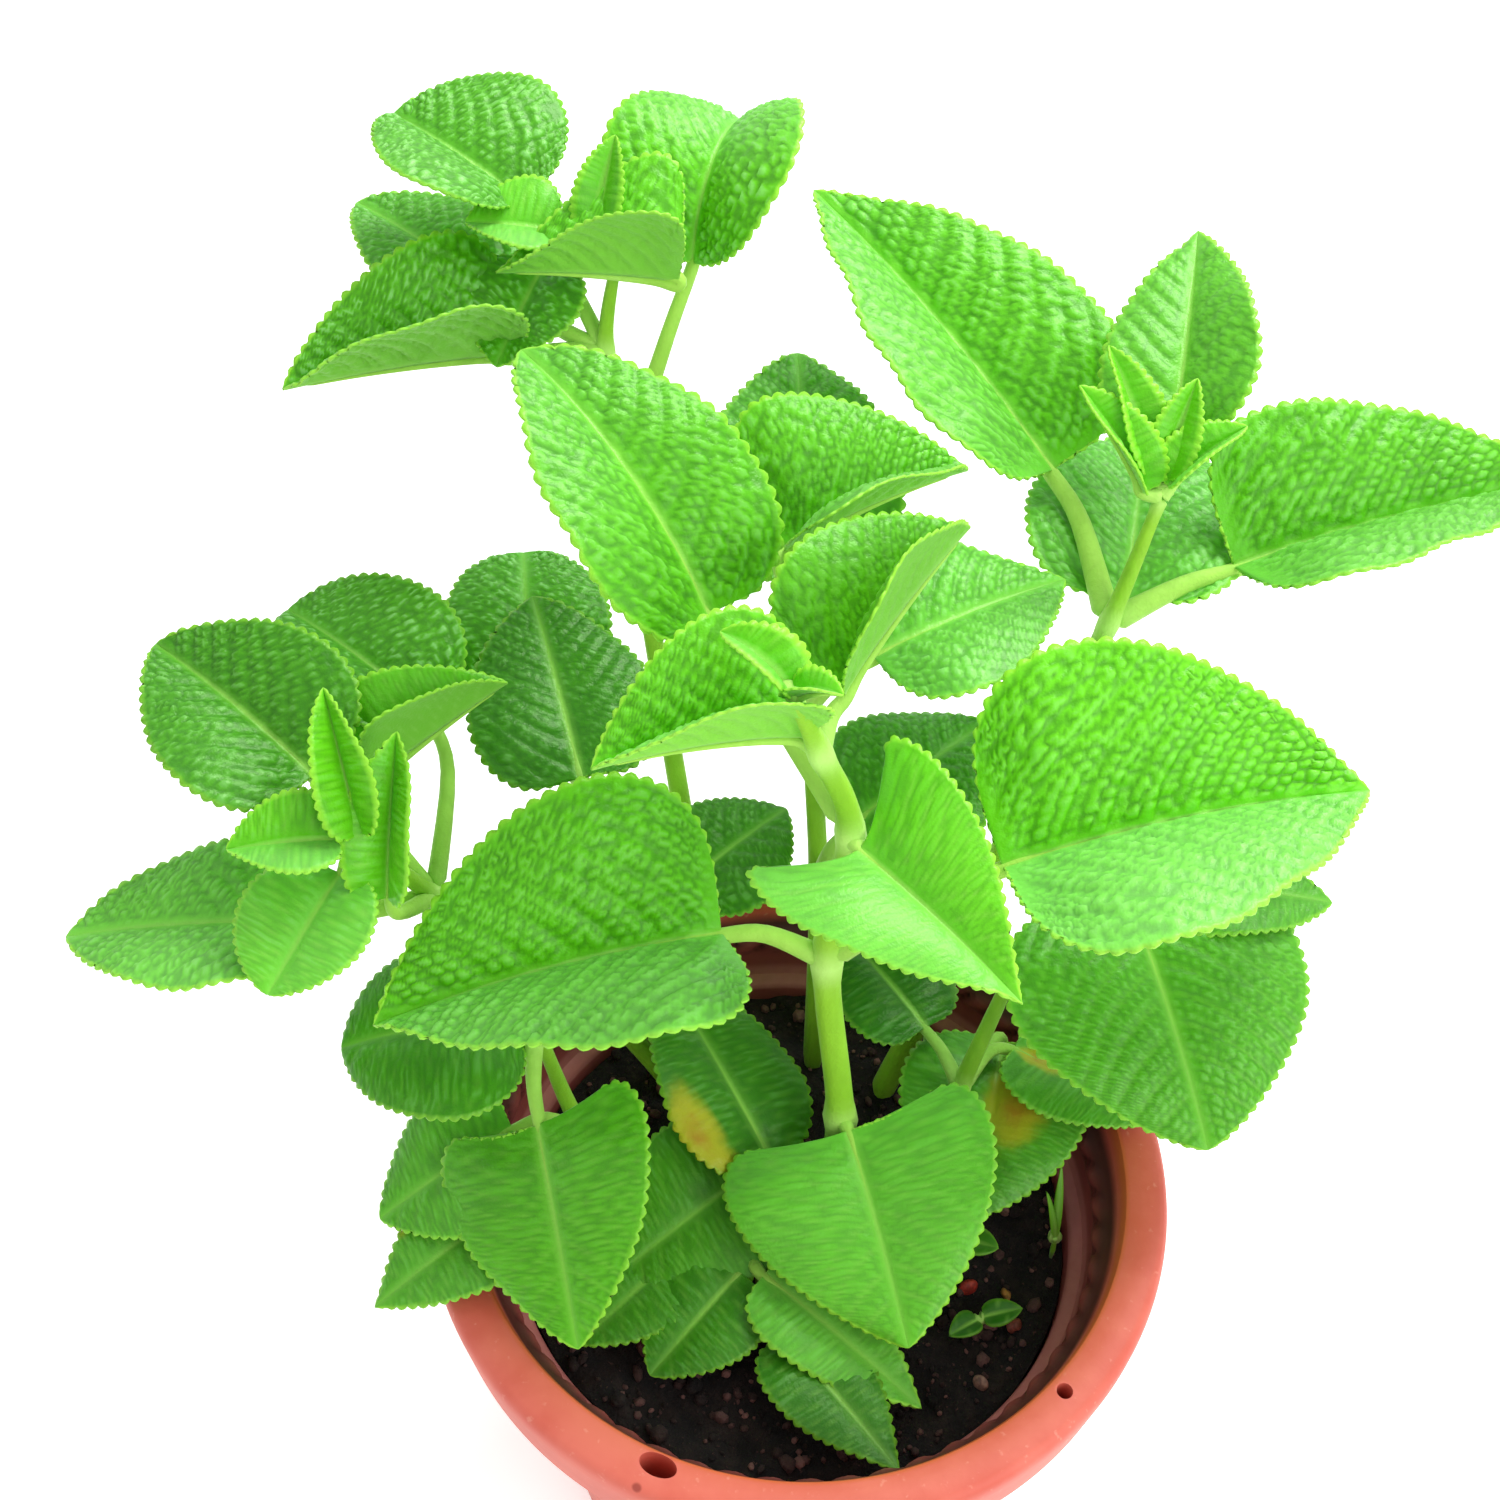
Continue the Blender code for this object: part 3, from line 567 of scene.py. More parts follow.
class Blade:
    # a leaf's blade: a net of points over its outline, raised into its relief and painted
    def __init__(self, name, plan, number):
        self.plan, self.number = plan, number
        self.length, self.width = (part * mm for part in plan["size"])
        young = bladePlan["youngest"]
        self.grown = min(1.0, young + (1 - young) * self.length / bladePlan["grownLength"])
        self.phase = number * 1.7  # sets the blade's waves apart from the others'
        self.layNet(name)
        self.layQuilt()
        self.shape()
        self.paint()

    def between(self, young):
        # from the youngest blades' share up to 1 for a full-grown one
        return young + (1 - young) * self.grown

    def layNet(self, name):
        # rows of points from stalk to tip, with each half's shares across it
        leastLength, leastWidth = marginPlan["toothedFrom"]
        toothed = self.length > leastLength and self.width > leastWidth
        pitch = marginPlan["toothPitch"] * self.grown if toothed else marginPlan["evenPitch"]
        detail = len(marginPlan["tooth"]) if toothed else 1
        u, outward, at, whole = evenMargin(
            self.plan, lambda run: detail * max(int(run / pitch), marginPlan["fewest"]))
        smooth = self.plan["quilt"] < netPlan["smoothQuilt"]
        cell = netPlan["smoothCell" if smooth else "cell"]
        halfCount = max(int(self.width / 2 / cell), netPlan["fewest"])
        self.sheet, gridU, gridV = gridSheet(name, len(u) - 1, 2 * halfCount)
        step = np.rint(gridU * (len(u) - 1)).astype(int)
        v = np.rint(gridV * 2 * halfCount) / halfCount - 1
        self.side, v = np.sign(v), np.abs(v)
        if smooth:
            v = v - netPlan["drawn"] * np.sin(2 * np.pi * v) / (2 * np.pi)
        self.share, self.v = u[step], v
        self.half, back = outlineAt(self.plan, self.share)
        self.back = back * v**bladePlan["lobeCurve"]
        self.flatX, self.flatY = self.length * self.share - self.back, self.half * v

        # blunt teeth, pushed out from the margin
        self.calm = np.clip(np.minimum(at, whole - at) / marginPlan["calmEnd"], 0, 1)[step]
        tooth = np.array(marginPlan["tooth"])[step % detail] if toothed else np.zeros(len(step))
        root, within = marginPlan["toothRoot"]
        fade = np.where(v > 0.999, 1, np.clip((v - root) * 4, 0, 1) * within)
        push = marginPlan["toothDepth"] * self.grown * tooth * self.calm * fade
        self.push = push[:, None] * outward[step]

    def layQuilt(self):
        # rows of puckers sweep forward from the midrib, with a side vein every few rows
        plan, flatY, side = quiltPlan, self.flatY, self.side
        lead, bend = plan["sweep"]
        curve = bend * flatY**2 / (self.width / 2)
        gap = max(self.length * plan["rowGap"], plan["leastGap"])
        waver, waverRate = plan["rowWaver"]
        row = (self.flatX - lead * flatY - curve) / gap + 0.5 * (side > 0)
        row = row + waver * np.sin(flatY * waverRate + self.phase + side)
        place = (flatY * plan["slant"] + curve) \
            / (plan["pucker"] * self.between(plan["youngPucker"]))
        self.puff = puckers(row, place, self.number + side)
        off = np.abs(np.mod(row, plan["sideVein"]) - plan["sideVein"] / 2)
        self.veins = np.exp(-(off / plan["veinWidth"])**2)
        self.valleys = np.exp(-(off / plan["valleyWidth"])**2)
        self.ends = (smoothStep(flatY, 0.0006, 0.0034) * smoothStep(self.v, 1.0, 0.92)
                     * smoothStep(self.share, 0.0, 0.08) * smoothStep(self.share, 1.0, 0.95))

    def relief(self):
        plan, quilt, v, phase = quiltPlan, self.plan["quilt"], self.v, self.phase
        least, added, rateX, rateY = plan["uneven"]
        uneven = least + added * np.sin(self.flatX * rateX + phase) \
            * np.sin(self.flatY * rateY + phase * 2)
        puffed = self.puff * (1 - plan["veinSunk"] * self.veins) - plan["level"]
        quilted = quilt * mm * plan["height"] * puffed * self.ends * uneven
        deep = min(quilt, plan["valleyQuilt"]) * mm * plan["valleyDepth"] * self.grown
        valley = deep * (self.valleys - plan["valleyLevel"]) * self.ends
        arch = plan["bulge"] * self.half * 4 * v * (1 - v) * smoothStep(self.share, 0.0, 0.2)
        (high, short), (low, long) = marginPlan["waves"]
        wave = self.grown * v**2 * self.calm * (
            high * np.sin(self.flatX * short + phase + self.side)
            + low * np.sin(self.flatX * long + phase * 3))
        depth, wide = plan["groove"]
        groove = depth * self.grown * np.exp(-(self.flatY / wide)**2) * (1 - self.share)
        return quilted - valley + arch + wave - groove

    def shape(self):
        here, along, across, up = midribAt(self.plan, self.share)
        fold = math.radians(self.plan["bend"][2])
        out = across * self.side[:, None] * math.cos(fold) + up * math.sin(fold)
        self.lift = up * math.cos(fold) - across * self.side[:, None] * math.sin(fold)
        self.lift[self.side == 0] = up[self.side == 0]
        setPoints(self.sheet, here + out * (self.flatY + self.push[:, 1])[:, None]
                  + along * (self.push[:, 0] - self.back)[:, None]
                  + self.lift * self.relief()[:, None])

    def blotch(self):
        if not self.plan["spot"]:
            return 0.0
        spotU, spotV, size, depth = self.plan["spot"]
        across = (self.v * self.side - spotV) * paintPlan["blotchReach"]
        return depth * smoothStep(np.hypot(self.share - spotU, across) / size, 1.0, 0.1)

    def paint(self):
        # values for the finish; smooth blades show pale side veins in place of puckers
        ribWidth, ribLoss = paintPlan["rib"]
        rib = np.exp(-(self.flatY / (ribWidth * self.grown))**2) * (1 - ribLoss * self.share)
        smooth = 1 - min(self.plan["quilt"] / paintPlan["quilted"], 1)
        begin, full = paintPlan["margin"]
        margin = smoothStep(self.half - self.flatY, begin * self.grown, full)
        puff = (self.puff * (1 - 0.5 * self.veins) - 0.6) * self.ends * (1 - 0.7 * smooth) + 0.6
        # painted sheen: the halves that face the light are painted paler
        bloom = smoothStep(self.lift @ paintPlan["bloomWay"], paintPlan["bloomFrom"], 1.0)
        setValues(self.sheet, puff=puff, rib=rib, vein=self.veins * self.ends * smooth,
                  margin=margin * smoothStep(self.v, 0.5, 0.9), tone=self.plan["tone"],
                  frost=self.plan["frost"], bloom=bloom, blotch=self.blotch())

    def made(self, finishes):
        weldSeams(self.sheet)
        self.sheet.data.materials.append(finishes["upper"])
        self.sheet.data.materials.append(finishes["under"])
        thickness = bladePlan["thickness"] * self.between(bladePlan["thinnest"])
        addModifier(self.sheet, "SOLIDIFY", thickness=thickness, offset=0, material_offset=1)
        return self.sheet


def stalk(name, plan, node, finishes):
    # the stalk, running on as the rib under the blade
    start, base = planPlace(node), planPlace(plan["base"])
    reach = np.linalg.norm(base - start)
    share, most = stalkPlan["lead"]
    lead = base - direction(*np.radians(plan["heading"])) * min(reach * share, most)
    least, longer = stalkPlan["thicker"]
    thick = stalkPlan["radius"] * (least + plan["size"][0] / longer)
    along, thinner = np.array(stalkPlan["ribs"]).T
    ribs, _, _, ups = midribAt(plan, along)
    drop, more = stalkPlan["ribDrop"]
    ribs = ribs - ups * (thick * thinner * drop + more)[:, None]
    points, radii = [start], [thick * stalkPlan["foot"]]
    if reach >= stalkPlan["shortest"]:
        points.append(start / 4 + lead / 2 + base / 4)
        radii.append(thick)
    path = np.column_stack([np.vstack([points, ribs]), np.append(radii, thick * thinner)])
    path = smoothPath(path, 5)
    made, step = tube(name, path[:, :3], path[:, 3], stalkPlan["sides"])
    gone = np.linalg.norm(path[:, :3] - start, axis=1)[step]
    pale, paler, far = stalkPlan["pale"]
    setValues(made, pale=pale + paler * np.exp(-(gone / far)**2), tone=plan["tone"])
    weldSeams(made)
    made.data.materials.append(finishes["stem"])
    return made


def mainStem(name, plan, finishes):
    path = np.array([[*planPlace(point), point[3] * mm] for point in plan["path"]])
    nodes = sorted({item["node"] for item in plan["leaves"]})
    path = np.vstack([path[:1], smoothPath(path[1:], 14)])
    track, radii = path[:, :3], path[:, 3].copy()
    pale = np.zeros(len(track))
    for node in nodes:
        gap = np.linalg.norm(track - planPlace(plan["path"][node]), axis=1)
        ring = np.exp(-(gap / (stemPlan["ring"] * radii.max() / stemPlan["ringRadius"]))**2)
        radii = radii * (1 + stemPlan["swelling"] * ring)
        pale = np.maximum(pale, ring)
    made, step = tube(name, track, radii, stemPlan["sides"], stemPlan["square"])
    tones = [item["tone"] for item in plan["leaves"]]
    setValues(made, pale=pale[step], tone=sum(tones) / len(tones))
    weldSeams(made)
    made.data.materials.append(finishes["stem"])
    return made


def upperFinish():
    # lime to deep green, with painted shade in the creases between the puckers, a painted
    # highlight on the pucker tops and a painted sheen on the halves that face the light
    look = Finish("leafUpper")
    tone, puff, bloom = look.attribute("tone"), look.attribute("puff"), look.attribute("bloom")
    patchy = look.grain(0.016)
    green = look.mix((tone + (patchy - 0.5) * 0.3).clamped(), (0.010, 0.105, 0.002),
                     (0.150, 0.66, 0.007))
    # painted shade: darker in the creases between the puckers, along the small veins
    shaded = look.mix(puff.rising(-0.1, 0.7), look.mix(0.55, green, (0.008, 0.10, 0.004)), green)
    # painted highlight on the pucker tops, and painted sheen on the halves that face the light
    frosted = look.mix((look.attribute("frost") * puff.rising(0.5, 1.0) * (0.3 + patchy * 0.6)
                        + bloom * tone * tone * 0.30).clamped(), shaded, (0.38, 0.80, 0.30))
    ribbed = look.mix((look.attribute("rib") * 0.75 + look.attribute("vein") * 0.35).clamped(),
                      frosted, (0.42, 0.82, 0.13))
    edged = look.mix(look.attribute("margin") * (0.25 + tone * 0.5), ribbed, (0.42, 0.88, 0.06))
    blotch = look.attribute("blotch")
    sick = blotch + (look.grain(0.006, 4) - 0.5) * 0.6 * blotch.rising(0.02, 0.4)
    yellowed = look.mix(sick.rising(0.1, 0.7) * 0.85, edged, (0.52, 0.46, 0.02))
    coloured = look.mix(sick.rising(0.7, 1.15) * 0.75, yellowed, (0.48, 0.15, 0.015))
    fine = look.bump(look.grain(0.0011, 2), 0.00035, 0.5)
    return look.surface(
        {"Base Color": coloured, "Roughness": 0.37, "Normal": fine, "Specular IOR Level": 0.46,
         "Specular Tint": (0.75, 1.0, 0.60, 1.0), "Sheen Weight": 0.05,
         "Sheen Roughness": 0.35, "Sheen Tint": (0.8, 1.0, 0.4, 1.0)},
        glow=(0.30, 0.85, 0.02), share=0.12)


def underFinish():
    look = Finish("leafUnder")
    tone = look.attribute("tone")
    green = look.mix((tone + (look.grain(0.015) - 0.5) * 0.2).clamped(),
                     (0.04, 0.21, 0.010), (0.26, 0.70, 0.06))
    veined = look.mix((look.attribute("rib") + look.attribute("vein") * 0.3).clamped(),
                      green, (0.46, 0.80, 0.20))
    edged = look.mix(look.attribute("margin") * 0.6, veined, (0.46, 0.90, 0.08))
    fine = look.bump(look.grain(0.0008, 2), 0.0004, 0.6)
    return look.surface(
        {"Base Color": edged, "Roughness": 0.7, "Normal": fine, "Specular IOR Level": 0.3,
         "Sheen Weight": 0.2, "Sheen Roughness": 0.45, "Sheen Tint": (0.85, 1.0, 0.7, 1.0)},
        glow=(0.34, 0.90, 0.02), share=0.14)


def stemFinish():
    look = Finish("stemSkin")
    tone, pale = look.attribute("tone"), look.attribute("pale")
    streaks = look.grain(0.004, 3, 0.5, look.place((1, 1, 0.25)))
    green = look.mix((tone + (streaks - 0.5) * 0.6).clamped(), (0.10, 0.30, 0.006),
                     (0.32, 0.66, 0.03))
    downy = look.mix((pale * (0.6 + streaks * 0.5)).clamped(), green, (0.55, 0.90, 0.22))
    fine = look.bump(look.grain(0.0009, 2), 0.0004, 0.6)
    return look.surface(
        {"Base Color": downy, "Roughness": 0.62, "Normal": fine, "Specular IOR Level": 0.3,
         "Sheen Weight": 0.2, "Sheen Roughness": 0.4, "Sheen Tint": (0.9, 1.0, 0.75, 1.0)},
        glow=(0.40, 0.80, 0.05), share=0.08)


finishes = dict(upper=upperFinish(), under=underFinish(), stem=stemFinish())


def leafyStem(name, plan):
    things = [mainStem(name + "_stem", plan, finishes)]
    for number, item in enumerate(plan["leaves"]):
        # the number sets each blade's own unevenness
        blade = Blade(f"{name}_blade{number}", item, number + len(name))
        things.append(blade.made(finishes))
        things.append(stalk(f"{name}_stalk{number}", item, plan["path"][item["node"]], finishes))
    piece = joined("leafy_" + name, things)
    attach(piece, "root")
    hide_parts(name)
    return piece


for stemName, stemParts in stems.items():
    grown = leafyStem(stemName, stemParts)
    print(grown.name, len(grown.data.polygons), "faces")


# Pot: moulded clay-red plastic, turned up ring by ring from its base

potPlan = dict(
    sides=336,
    beads=56,
    beadHeight=0.0021,
    profile=[  # radius and height, up the outside, over the rim and down the inside
        (0.0680, 0.0), (0.0700, 0.0012), (0.0780, 0.0780), (0.0875, 0.1420), (0.0885, 0.1420),
        (0.0998, 0.1410), (0.1006, 0.1416), (0.1028, 0.1580), (0.1030, 0.1616),
        (0.1026, 0.1634), (0.1016, 0.1645), (0.1002, 0.1650), (0.0926, 0.1650),
        (0.0914, 0.1644), (0.0907, 0.1630), (0.0900, 0.1590), (0.0889, 0.1550),
        (0.0878, 0.1530), (0.0869, 0.1520), (0.0862, 0.1508), (0.0857, 0.1494),
        (0.0854, 0.1478), (0.0853, 0.1462), (0.0854, 0.1446), (0.0854, 0.1430),
        (0.0844, 0.1368), (0.0838, 0.1354), (0.0812, 0.1342), (0.0803, 0.1332),
        (0.0799, 0.1300), (0.0720, 0.0650), (0.0652, 0.0060), (0.0640, 0.0050),
    ],
    bandRows=(17, 23),  # the profile rows that carry the beads
    beadSlant=300,  # how far the beads lean, in radians per metre of height
    beadRound=0.8,  # below 1, the grooves between the beads are sharp
    innerRow=16,  # from this profile row on, the wall is inside
    innerShade=(0.1640, 0.1560),  # heights where the inside's darker look begins and is full
    rimEdge=(0.0911, 0.0012, 0.85),  # the rim's inner edge: radius, width, strength
    darkBand=((0.1630, 0.1610), (0.1495, 0.1530)),  # heights where it fades in and out
    ledgeBand=((0.1316, 0.1330), (0.1400, 0.1372)),
    # through the rim: place, radius, how much longer than wide, and turn in degrees
    holes=[((0.0684, -0.0662), 0.0021, 1.0, 0), ((-0.0334, -0.0886), 0.0029, 1.7, -21)],
    holeReach=(0.150, 0.170),
    nick=(-0.0384, -0.0944, 0.165),  # a small dark mark beside the slot
    nickSize=(0.0017, 0.0010),
    drains=(6, 0.006, 0.040),  # number, radius, and distance from the middle
    drainReach=(-0.005, 0.010),
)


def clayFinish():
    look = Finish("clayPlastic")
    where = look.place()
    height = look.node("SeparateXYZ", {}, {0: where}, output=2)
    cloudy, fine = look.grain(0.022, 4), look.grain(0.0028, 3)
    clay = look.mix(cloudy.rising(0.35, 0.7), (0.59, 0.103, 0.066), (0.66, 0.145, 0.098))
    speckled = look.mix(fine.rising(0.62, 0.75) * 0.35, clay, (0.76, 0.34, 0.25))
    inside = look.attribute("inside")
    rimmed = look.mix(look.attribute("edge"), speckled, (0.60, 0.12, 0.025))
    # painted shade over the inside of the pot, below the rim
    insideShaded = look.mix(inside * (0.55 + 0.4 * cloudy), rimmed, (0.20, 0.045, 0.050))
    upper, lower = potPlan["darkBand"]
    deep = height.rising(*upper) * height.rising(*lower) * inside
    shadowed = look.mix(deep * (0.55 + 0.4 * cloudy), insideShaded, (0.016, 0.007, 0.005))
    grooved = look.mix(look.attribute("groove") * 0.9, shadowed, (0.010, 0.004, 0.004))
    lower, upper = potPlan["ledgeBand"]
    ledge = height.rising(*lower) * height.rising(*upper) * inside
    # a paler pink band painted on the ledge inside the pot
    ledgePaled = look.mix(ledge * (0.5 + 0.4 * fine), grooved, (0.52, 0.18, 0.17))
    nick = look.node("VectorMath", {"operation": "DISTANCE"},
                     {0: where, 1: potPlan["nick"]}, output="Value")
    marked = look.mix(nick.rising(*potPlan["nickSize"]) * 0.7, ledgePaled, (0.22, 0.02, 0.012))
    return look.surface(
        {"Base Color": marked, "Roughness": 0.42 + 0.16 * cloudy,
         "Normal": look.bump(fine, 0.0002, 0.4), "Specular IOR Level": 0.4})


def turnedPot():
    plan = potPlan
    profile = plan["profile"]
    clearSelection()
    bpy.ops.mesh.primitive_circle_add(vertices=plan["sides"], radius=profile[0][0],
                                      location=(0, 0, 0), fill_type="NOTHING")
    pot = bpy.context.object
    pot.name = "moulded_pot"
    bpy.ops.object.mode_set(mode="EDIT")
    bpy.ops.mesh.select_all(action="SELECT")
    for (radius, height), (nextRadius, nextHeight) in zip(profile, profile[1:]):
        bpy.ops.mesh.extrude_region_move(
            TRANSFORM_OT_translate={"value": (0, 0, nextHeight - height)})
        grow = nextRadius / radius
        bpy.ops.transform.resize(value=(grow, grow, 1), center_override=(0, 0, nextHeight))
    bpy.ops.mesh.edge_face_add()  # the floor inside
    bpy.ops.mesh.select_all(action="DESELECT")
    bpy.ops.mesh.select_non_manifold()
    bpy.ops.mesh.edge_face_add()  # the base
    bpy.ops.mesh.select_all(action="SELECT")
    bpy.ops.mesh.normals_make_consistent(inside=False)
    bpy.ops.mesh.select_all(action="DESELECT")
    bpy.ops.object.mode_set(mode="OBJECT")
    return pot


def beadBand(pot):
    # slanting beads round the band inside the rim, and the values that the finish needs
    plan, points = potPlan, pointsOf(pot)
    row = np.arange(len(points)) // plan["sides"]
    angle = np.arctan2(points[:, 1], points[:, 0])
    radius = np.hypot(points[:, 0], points[:, 1])
    first, last = plan["bandRows"]
    middle = np.array(plan["profile"])[(first + last) // 2, 1]
    swirl = plan["beads"] * angle / 2 + (points[:, 2] - middle) * plan["beadSlant"]
    bead = np.abs(np.sin(swirl)) ** plan["beadRound"]
    within = np.where((row >= first) & (row <= last),
                      np.cos((row - (first + last) / 2) / (last - first) * np.pi), 0)
    within = np.clip(within, 0, 1)
    shrink = 1 + (0.4 * plan["beadHeight"] - bead * plan["beadHeight"]) * within / radius
    points[:, :2] *= shrink[:, None]
    setPoints(pot, points)
    edgeRadius, edgeWidth, strength = plan["rimEdge"]
    edge = np.exp(-((radius - edgeRadius) / edgeWidth)**2) * smoothStep(points[:, 2], 0.158, 0.163)
    inside = (row >= plan["innerRow"]) * smoothStep(points[:, 2], *plan["innerShade"])
    setValues(pot, inside=inside, edge=edge * strength, groove=(1 - bead) * within ** 0.5)


def drill(pot, centre, radius, low, high, stretch=1.0, turn=0.0):
    clearSelection()
    bpy.ops.mesh.primitive_cylinder_add(vertices=32, radius=radius, depth=high - low,
                                        location=(*centre, (low + high) / 2))
    bit = bpy.context.object
    bit.scale.x = stretch
    bit.rotation_euler.z = math.radians(turn)
    addModifier(pot, "BOOLEAN", operation="DIFFERENCE", object=bit, solver="EXACT")
    bpy.data.objects.remove(bit, do_unlink=True)


pot = turnedPot()
beadBand(pot)
for centre, radius, stretch, turn in potPlan["holes"]:
    drill(pot, centre, radius, *potPlan["holeReach"], stretch, turn)
count, drainRadius, ring = potPlan["drains"]
for k in range(count):
    angle = 2 * math.pi * (k + 0.5) / count
    centre = ring * math.cos(angle), ring * math.sin(angle)
    drill(pot, centre, drainRadius, *potPlan["drainReach"])
pot.data.materials.append(clayFinish())
pick(pot)
bpy.ops.object.shade_smooth_by_angle(angle=math.radians(35))
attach(pot, "root")
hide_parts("pot")
print("pot", len(pot.data.polygons), "faces")


# Soil: a lumpy dark bed with crumbs and a few bits half sunk in it

soilPlan = dict(
    top=0.130,
    radius=0.0792,
    foot=(0.0645, 0.0056),  # the underside's radius and height
    sunkEdge=(0.0015, 0.0745),  # how far the edge sinks, and from which radius on
    swells=(0.0016, 190, 160),  # height, and radians per metre both ways
    roughness=(0.0026, 55, 0.8, 2.1, 5),  # height, rate, then the noise's own settings
    rings=60,
    sideRings=8,
    sides=180,
    crumbs=900,
    crumbReach=0.077,
    crumbSize=(0.0008, 0.0020),  # the least radius, and what the largest have more
    crumbLift=0.3,  # how far crumbs and bits stand out, in radii
    bitLift=0.35,
    seed=7,
    bits=[  # place in millimetres, radius in millimetres, colour
        ((50, -22), 2.4, (0.42, 0.035, 0.018)), ((61, -23), 1.8, (0.50, 0.22, 0.04)),
        ((62, -33), 2.2, (0.30, 0.07, 0.04)), ((62, 3), 2.8, (0.30, 0.16, 0.12)),
        ((52, -50), 2.6, (0.33, 0.18, 0.13)),
    ],
)


def earthFinish():
    look = Finish("dampEarth")
    coarse, fine = look.grain(0.006, 5, 0.65), look.grain(0.0014, 4, 0.6)
    dark = look.mix(coarse.rising(0.4, 0.7), (0.0022, 0.0016, 0.0012), (0.018, 0.010, 0.007))
    flecked = look.mix(fine.rising(0.62, 0.72) * 0.7, dark, (0.11, 0.050, 0.042))
    crumbly = look.mix(look.attribute("crumb"), flecked, (0.26, 0.125, 0.105))
    bumpy = look.bump(fine, 0.0012, 0.9, look.bump(coarse, 0.003, 0.8))
    return look.surface({"Base Color": crumbly, "Roughness": 0.92, "Normal": bumpy})


def bitFinish(name, colour):
    look = Finish(name)
    cloudy = look.grain(0.0015, 3)
    shade = look.mix(cloudy.rising(0.35, 0.65), tuple(0.45 * part for part in colour), colour)
    return look.surface({"Base Color": shade, "Roughness": 0.6,
                         "Normal": look.bump(cloudy, 0.0005, 0.6)})


def soilHeight(x, y):
    swell, rateX, rateY = soilPlan["swells"]
    height, rate, fade, finer, octaves = soilPlan["roughness"]
    rough = noise.fractal(Vector((x * rate, y * rate, 3.1)), fade, finer, octaves,
                          noise_basis="PERLIN_ORIGINAL")
    return soilPlan["top"] + swell * math.sin(rateX * x + 1.3) * math.cos(rateY * y - 0.6) \
        + height * rough


def soilBed():
    plan = soilPlan
    rows = plan["rings"] + plan["sideRings"]
    bed, along, around = gridSheet("soil_bed", rows, plan["sides"])
    step = np.rint(along * rows).astype(int)
    angle = around * 2 * np.pi
    angle[around > seam] = 0.0
    points = np.zeros((len(step), 3))
    footRadius, footHeight = plan["foot"]
    sunk, sunkFrom = plan["sunkEdge"]
    for i, (k, a) in enumerate(zip(step, angle)):
        radius = plan["radius"] * min(k / plan["rings"], 1)
        x, y = radius * math.cos(a), radius * math.sin(a)
        z = soilHeight(x, y) - sunk * smoothStep(radius, sunkFrom, plan["radius"])
        if k == rows:  # the middle of the underside
            x, y, z = 0.0, 0.0, footHeight
        elif k > plan["rings"]:  # down the side
            down = (k - plan["rings"]) / (plan["sideRings"] - 1)
            shrink = 1 + (footRadius / plan["radius"] - 1) * down
            x, y, z = x * shrink, y * shrink, z + (footHeight - z) * down
        points[i] = x, y, z
    setPoints(bed, points)
    setValues(bed, crumb=0.0)
    weldSeams(bed)
    pick(bed)
    bpy.ops.object.mode_set(mode="EDIT")
    bpy.ops.mesh.select_all(action="SELECT")
    bpy.ops.mesh.normals_make_consistent(inside=False)
    bpy.ops.object.mode_set(mode="OBJECT")
    bed.data.materials.append(earthFinish())
    return bed


def lump(name, place, radius, rng, level):
    # an irregular grain
    clearSelection()
    bpy.ops.mesh.primitive_ico_sphere_add(subdivisions=level, radius=1)
    grain = bpy.context.object
    grain.name = name
    points = pointsOf(grain)
    squash = rng.uniform(0.55, 1.15, 3)
    bumps = 1 + 0.16 * np.sin(points @ rng.uniform(-4, 4, 3) + rng.uniform(0, 6))[:, None]
    points = points * bumps * squash * radius
    turn = rng.uniform(0, 6.28)
    c, s = math.cos(turn), math.sin(turn)
    points = points @ np.array([[c, -s, 0], [s, c, 0], [0, 0, 1]]) + np.asarray(place)
    setPoints(grain, points)
    return grain


def soilCrumbs(bed):
    plan = soilPlan
    rng = np.random.default_rng(plan["seed"])
    least, more = plan["crumbSize"]
    things = [bed]
    for k in range(plan["crumbs"]):
        radius = plan["crumbReach"] * math.sqrt(rng.uniform())
        angle = rng.uniform(0, 2 * math.pi)
        x, y = radius * math.cos(angle), radius * math.sin(angle)
        size = least + more * rng.uniform() ** 3
        place = x, y, soilHeight(x, y) + size * plan["crumbLift"]
        things.append(lump(f"crumb{k}", place, size, rng, 1))
        things[-1].data.materials.append(bed.data.materials[0])
        setValues(things[-1], crumb=rng.uniform(0.0, 0.95) ** 2)
    for k, ((x, y), size, colour) in enumerate(plan["bits"]):
        x, y, size = x * mm, y * mm, size * mm
        place = x, y, soilHeight(x, y) + size * plan["bitLift"]
        things.append(lump(f"bit{k}", place, size, rng, 3))
        things[-1].data.materials.append(bitFinish(f"soilBit{k}", colour))
        setValues(things[-1], crumb=0.0)
    return joined("soil_bed", things)


soil = soilCrumbs(soilBed())
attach(soil, "root")
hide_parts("soil")
print("soil", len(soil.data.polygons), "faces")


# Floor, light and camera

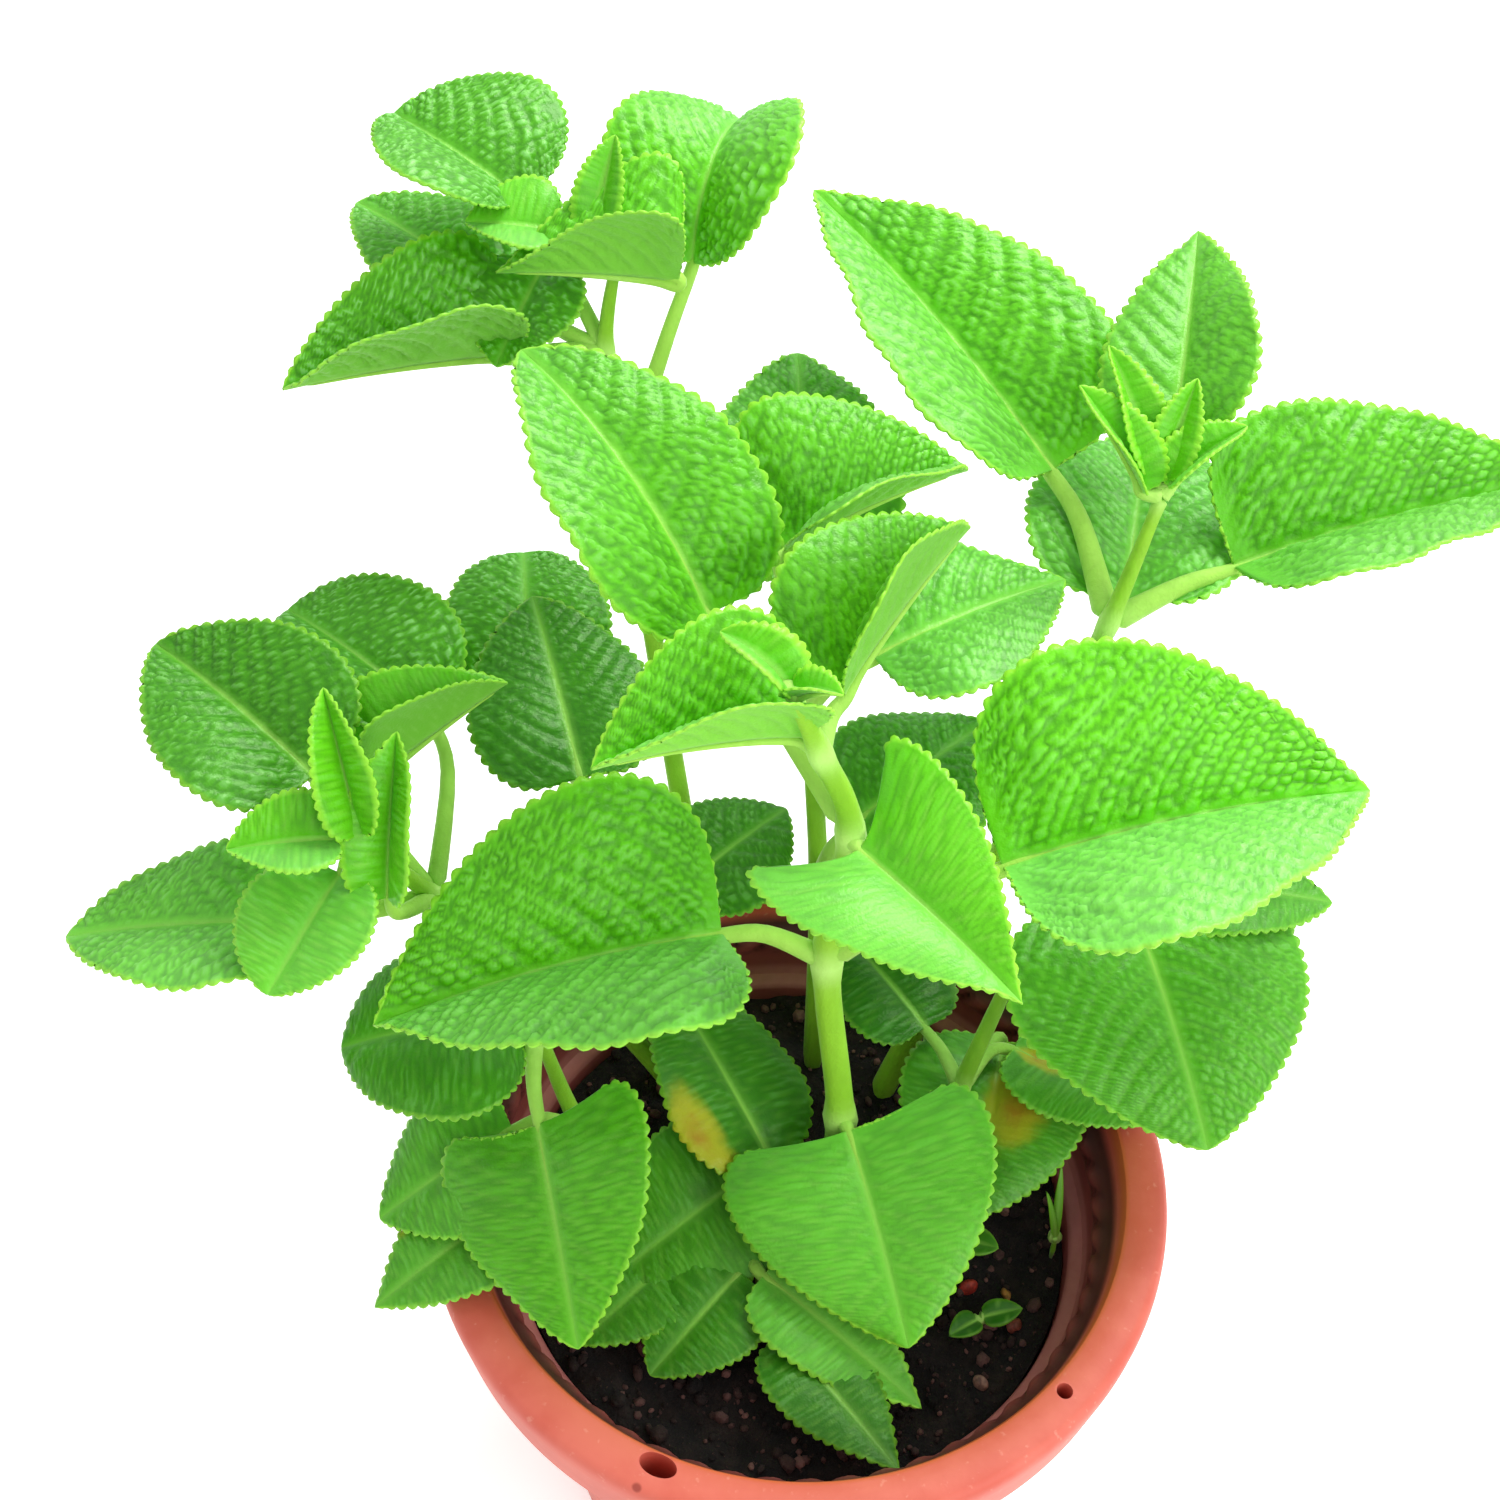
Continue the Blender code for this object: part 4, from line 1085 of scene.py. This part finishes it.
studio = dict(
    camera=(-0.017, -0.266, 0.605),
    pitch=46.3,  # below level, in degrees
    roll=2.0,
    lens=43.2,
    sky=0.88,
    lights=[  # name, place, what it aims at, size and power
        ("key", (0.45, 0.65, 1.35), (0, 0.05, 0.25), 0.7, 17.0),
        ("fill", (0.9, -0.7, 0.9), (0, 0, 0.25), 1.0, 8.0),
    ],
)


def floorFinish():
    look = Finish("paleFloor")
    faint = look.grain(0.4)
    return look.surface({"Base Color": look.mix(faint, (0.90, 0.90, 0.90), (0.93, 0.93, 0.93)),
                         "Roughness": 0.9, "Emission Color": (1, 1, 1, 1),
                         "Emission Strength": 0.35})


clearSelection()
bpy.ops.mesh.primitive_plane_add(size=40)
floor = bpy.context.object
floor.name = "floor"
floor.data.materials.append(floorFinish())

world = bpy.data.worlds.new("softSky")
bpy.context.scene.world = world
world.use_nodes = True
world.node_tree.nodes["Background"].inputs["Color"].default_value = (1, 1, 1, 1)
world.node_tree.nodes["Background"].inputs["Strength"].default_value = studio["sky"]


def softLight(name, place, aim, size, power):
    bpy.ops.object.light_add(type="AREA", location=place)
    lamp = bpy.context.object
    lamp.name = name
    lamp.data.shape = "DISK"
    lamp.data.size = size
    lamp.data.energy = power
    lamp.rotation_euler = (Vector(aim) - Vector(place)).to_track_quat("-Z", "Y").to_euler()


for light in studio["lights"]:
    softLight(*light)

pitch, roll = math.radians(studio["pitch"]), math.radians(studio["roll"])
ahead = Vector((0, math.cos(pitch), -math.sin(pitch)))
right, over = Vector((1, 0, 0)), Vector((0, math.sin(pitch), math.cos(pitch)))
imageRight = right * math.cos(roll) + over * math.sin(roll)
imageUp = over * math.cos(roll) - right * math.sin(roll)
bpy.ops.object.camera_add()
camera = bpy.context.object
turning = Matrix((imageRight, imageUp, -ahead)).transposed()
camera.matrix_world = Matrix.Translation(studio["camera"]) @ turning.to_4x4()
camera.data.lens = studio["lens"]
camera.data.sensor_width = 36
bpy.context.scene.camera = camera
bpy.context.scene.view_settings.view_transform = "Standard"
print("floor, light and camera set")
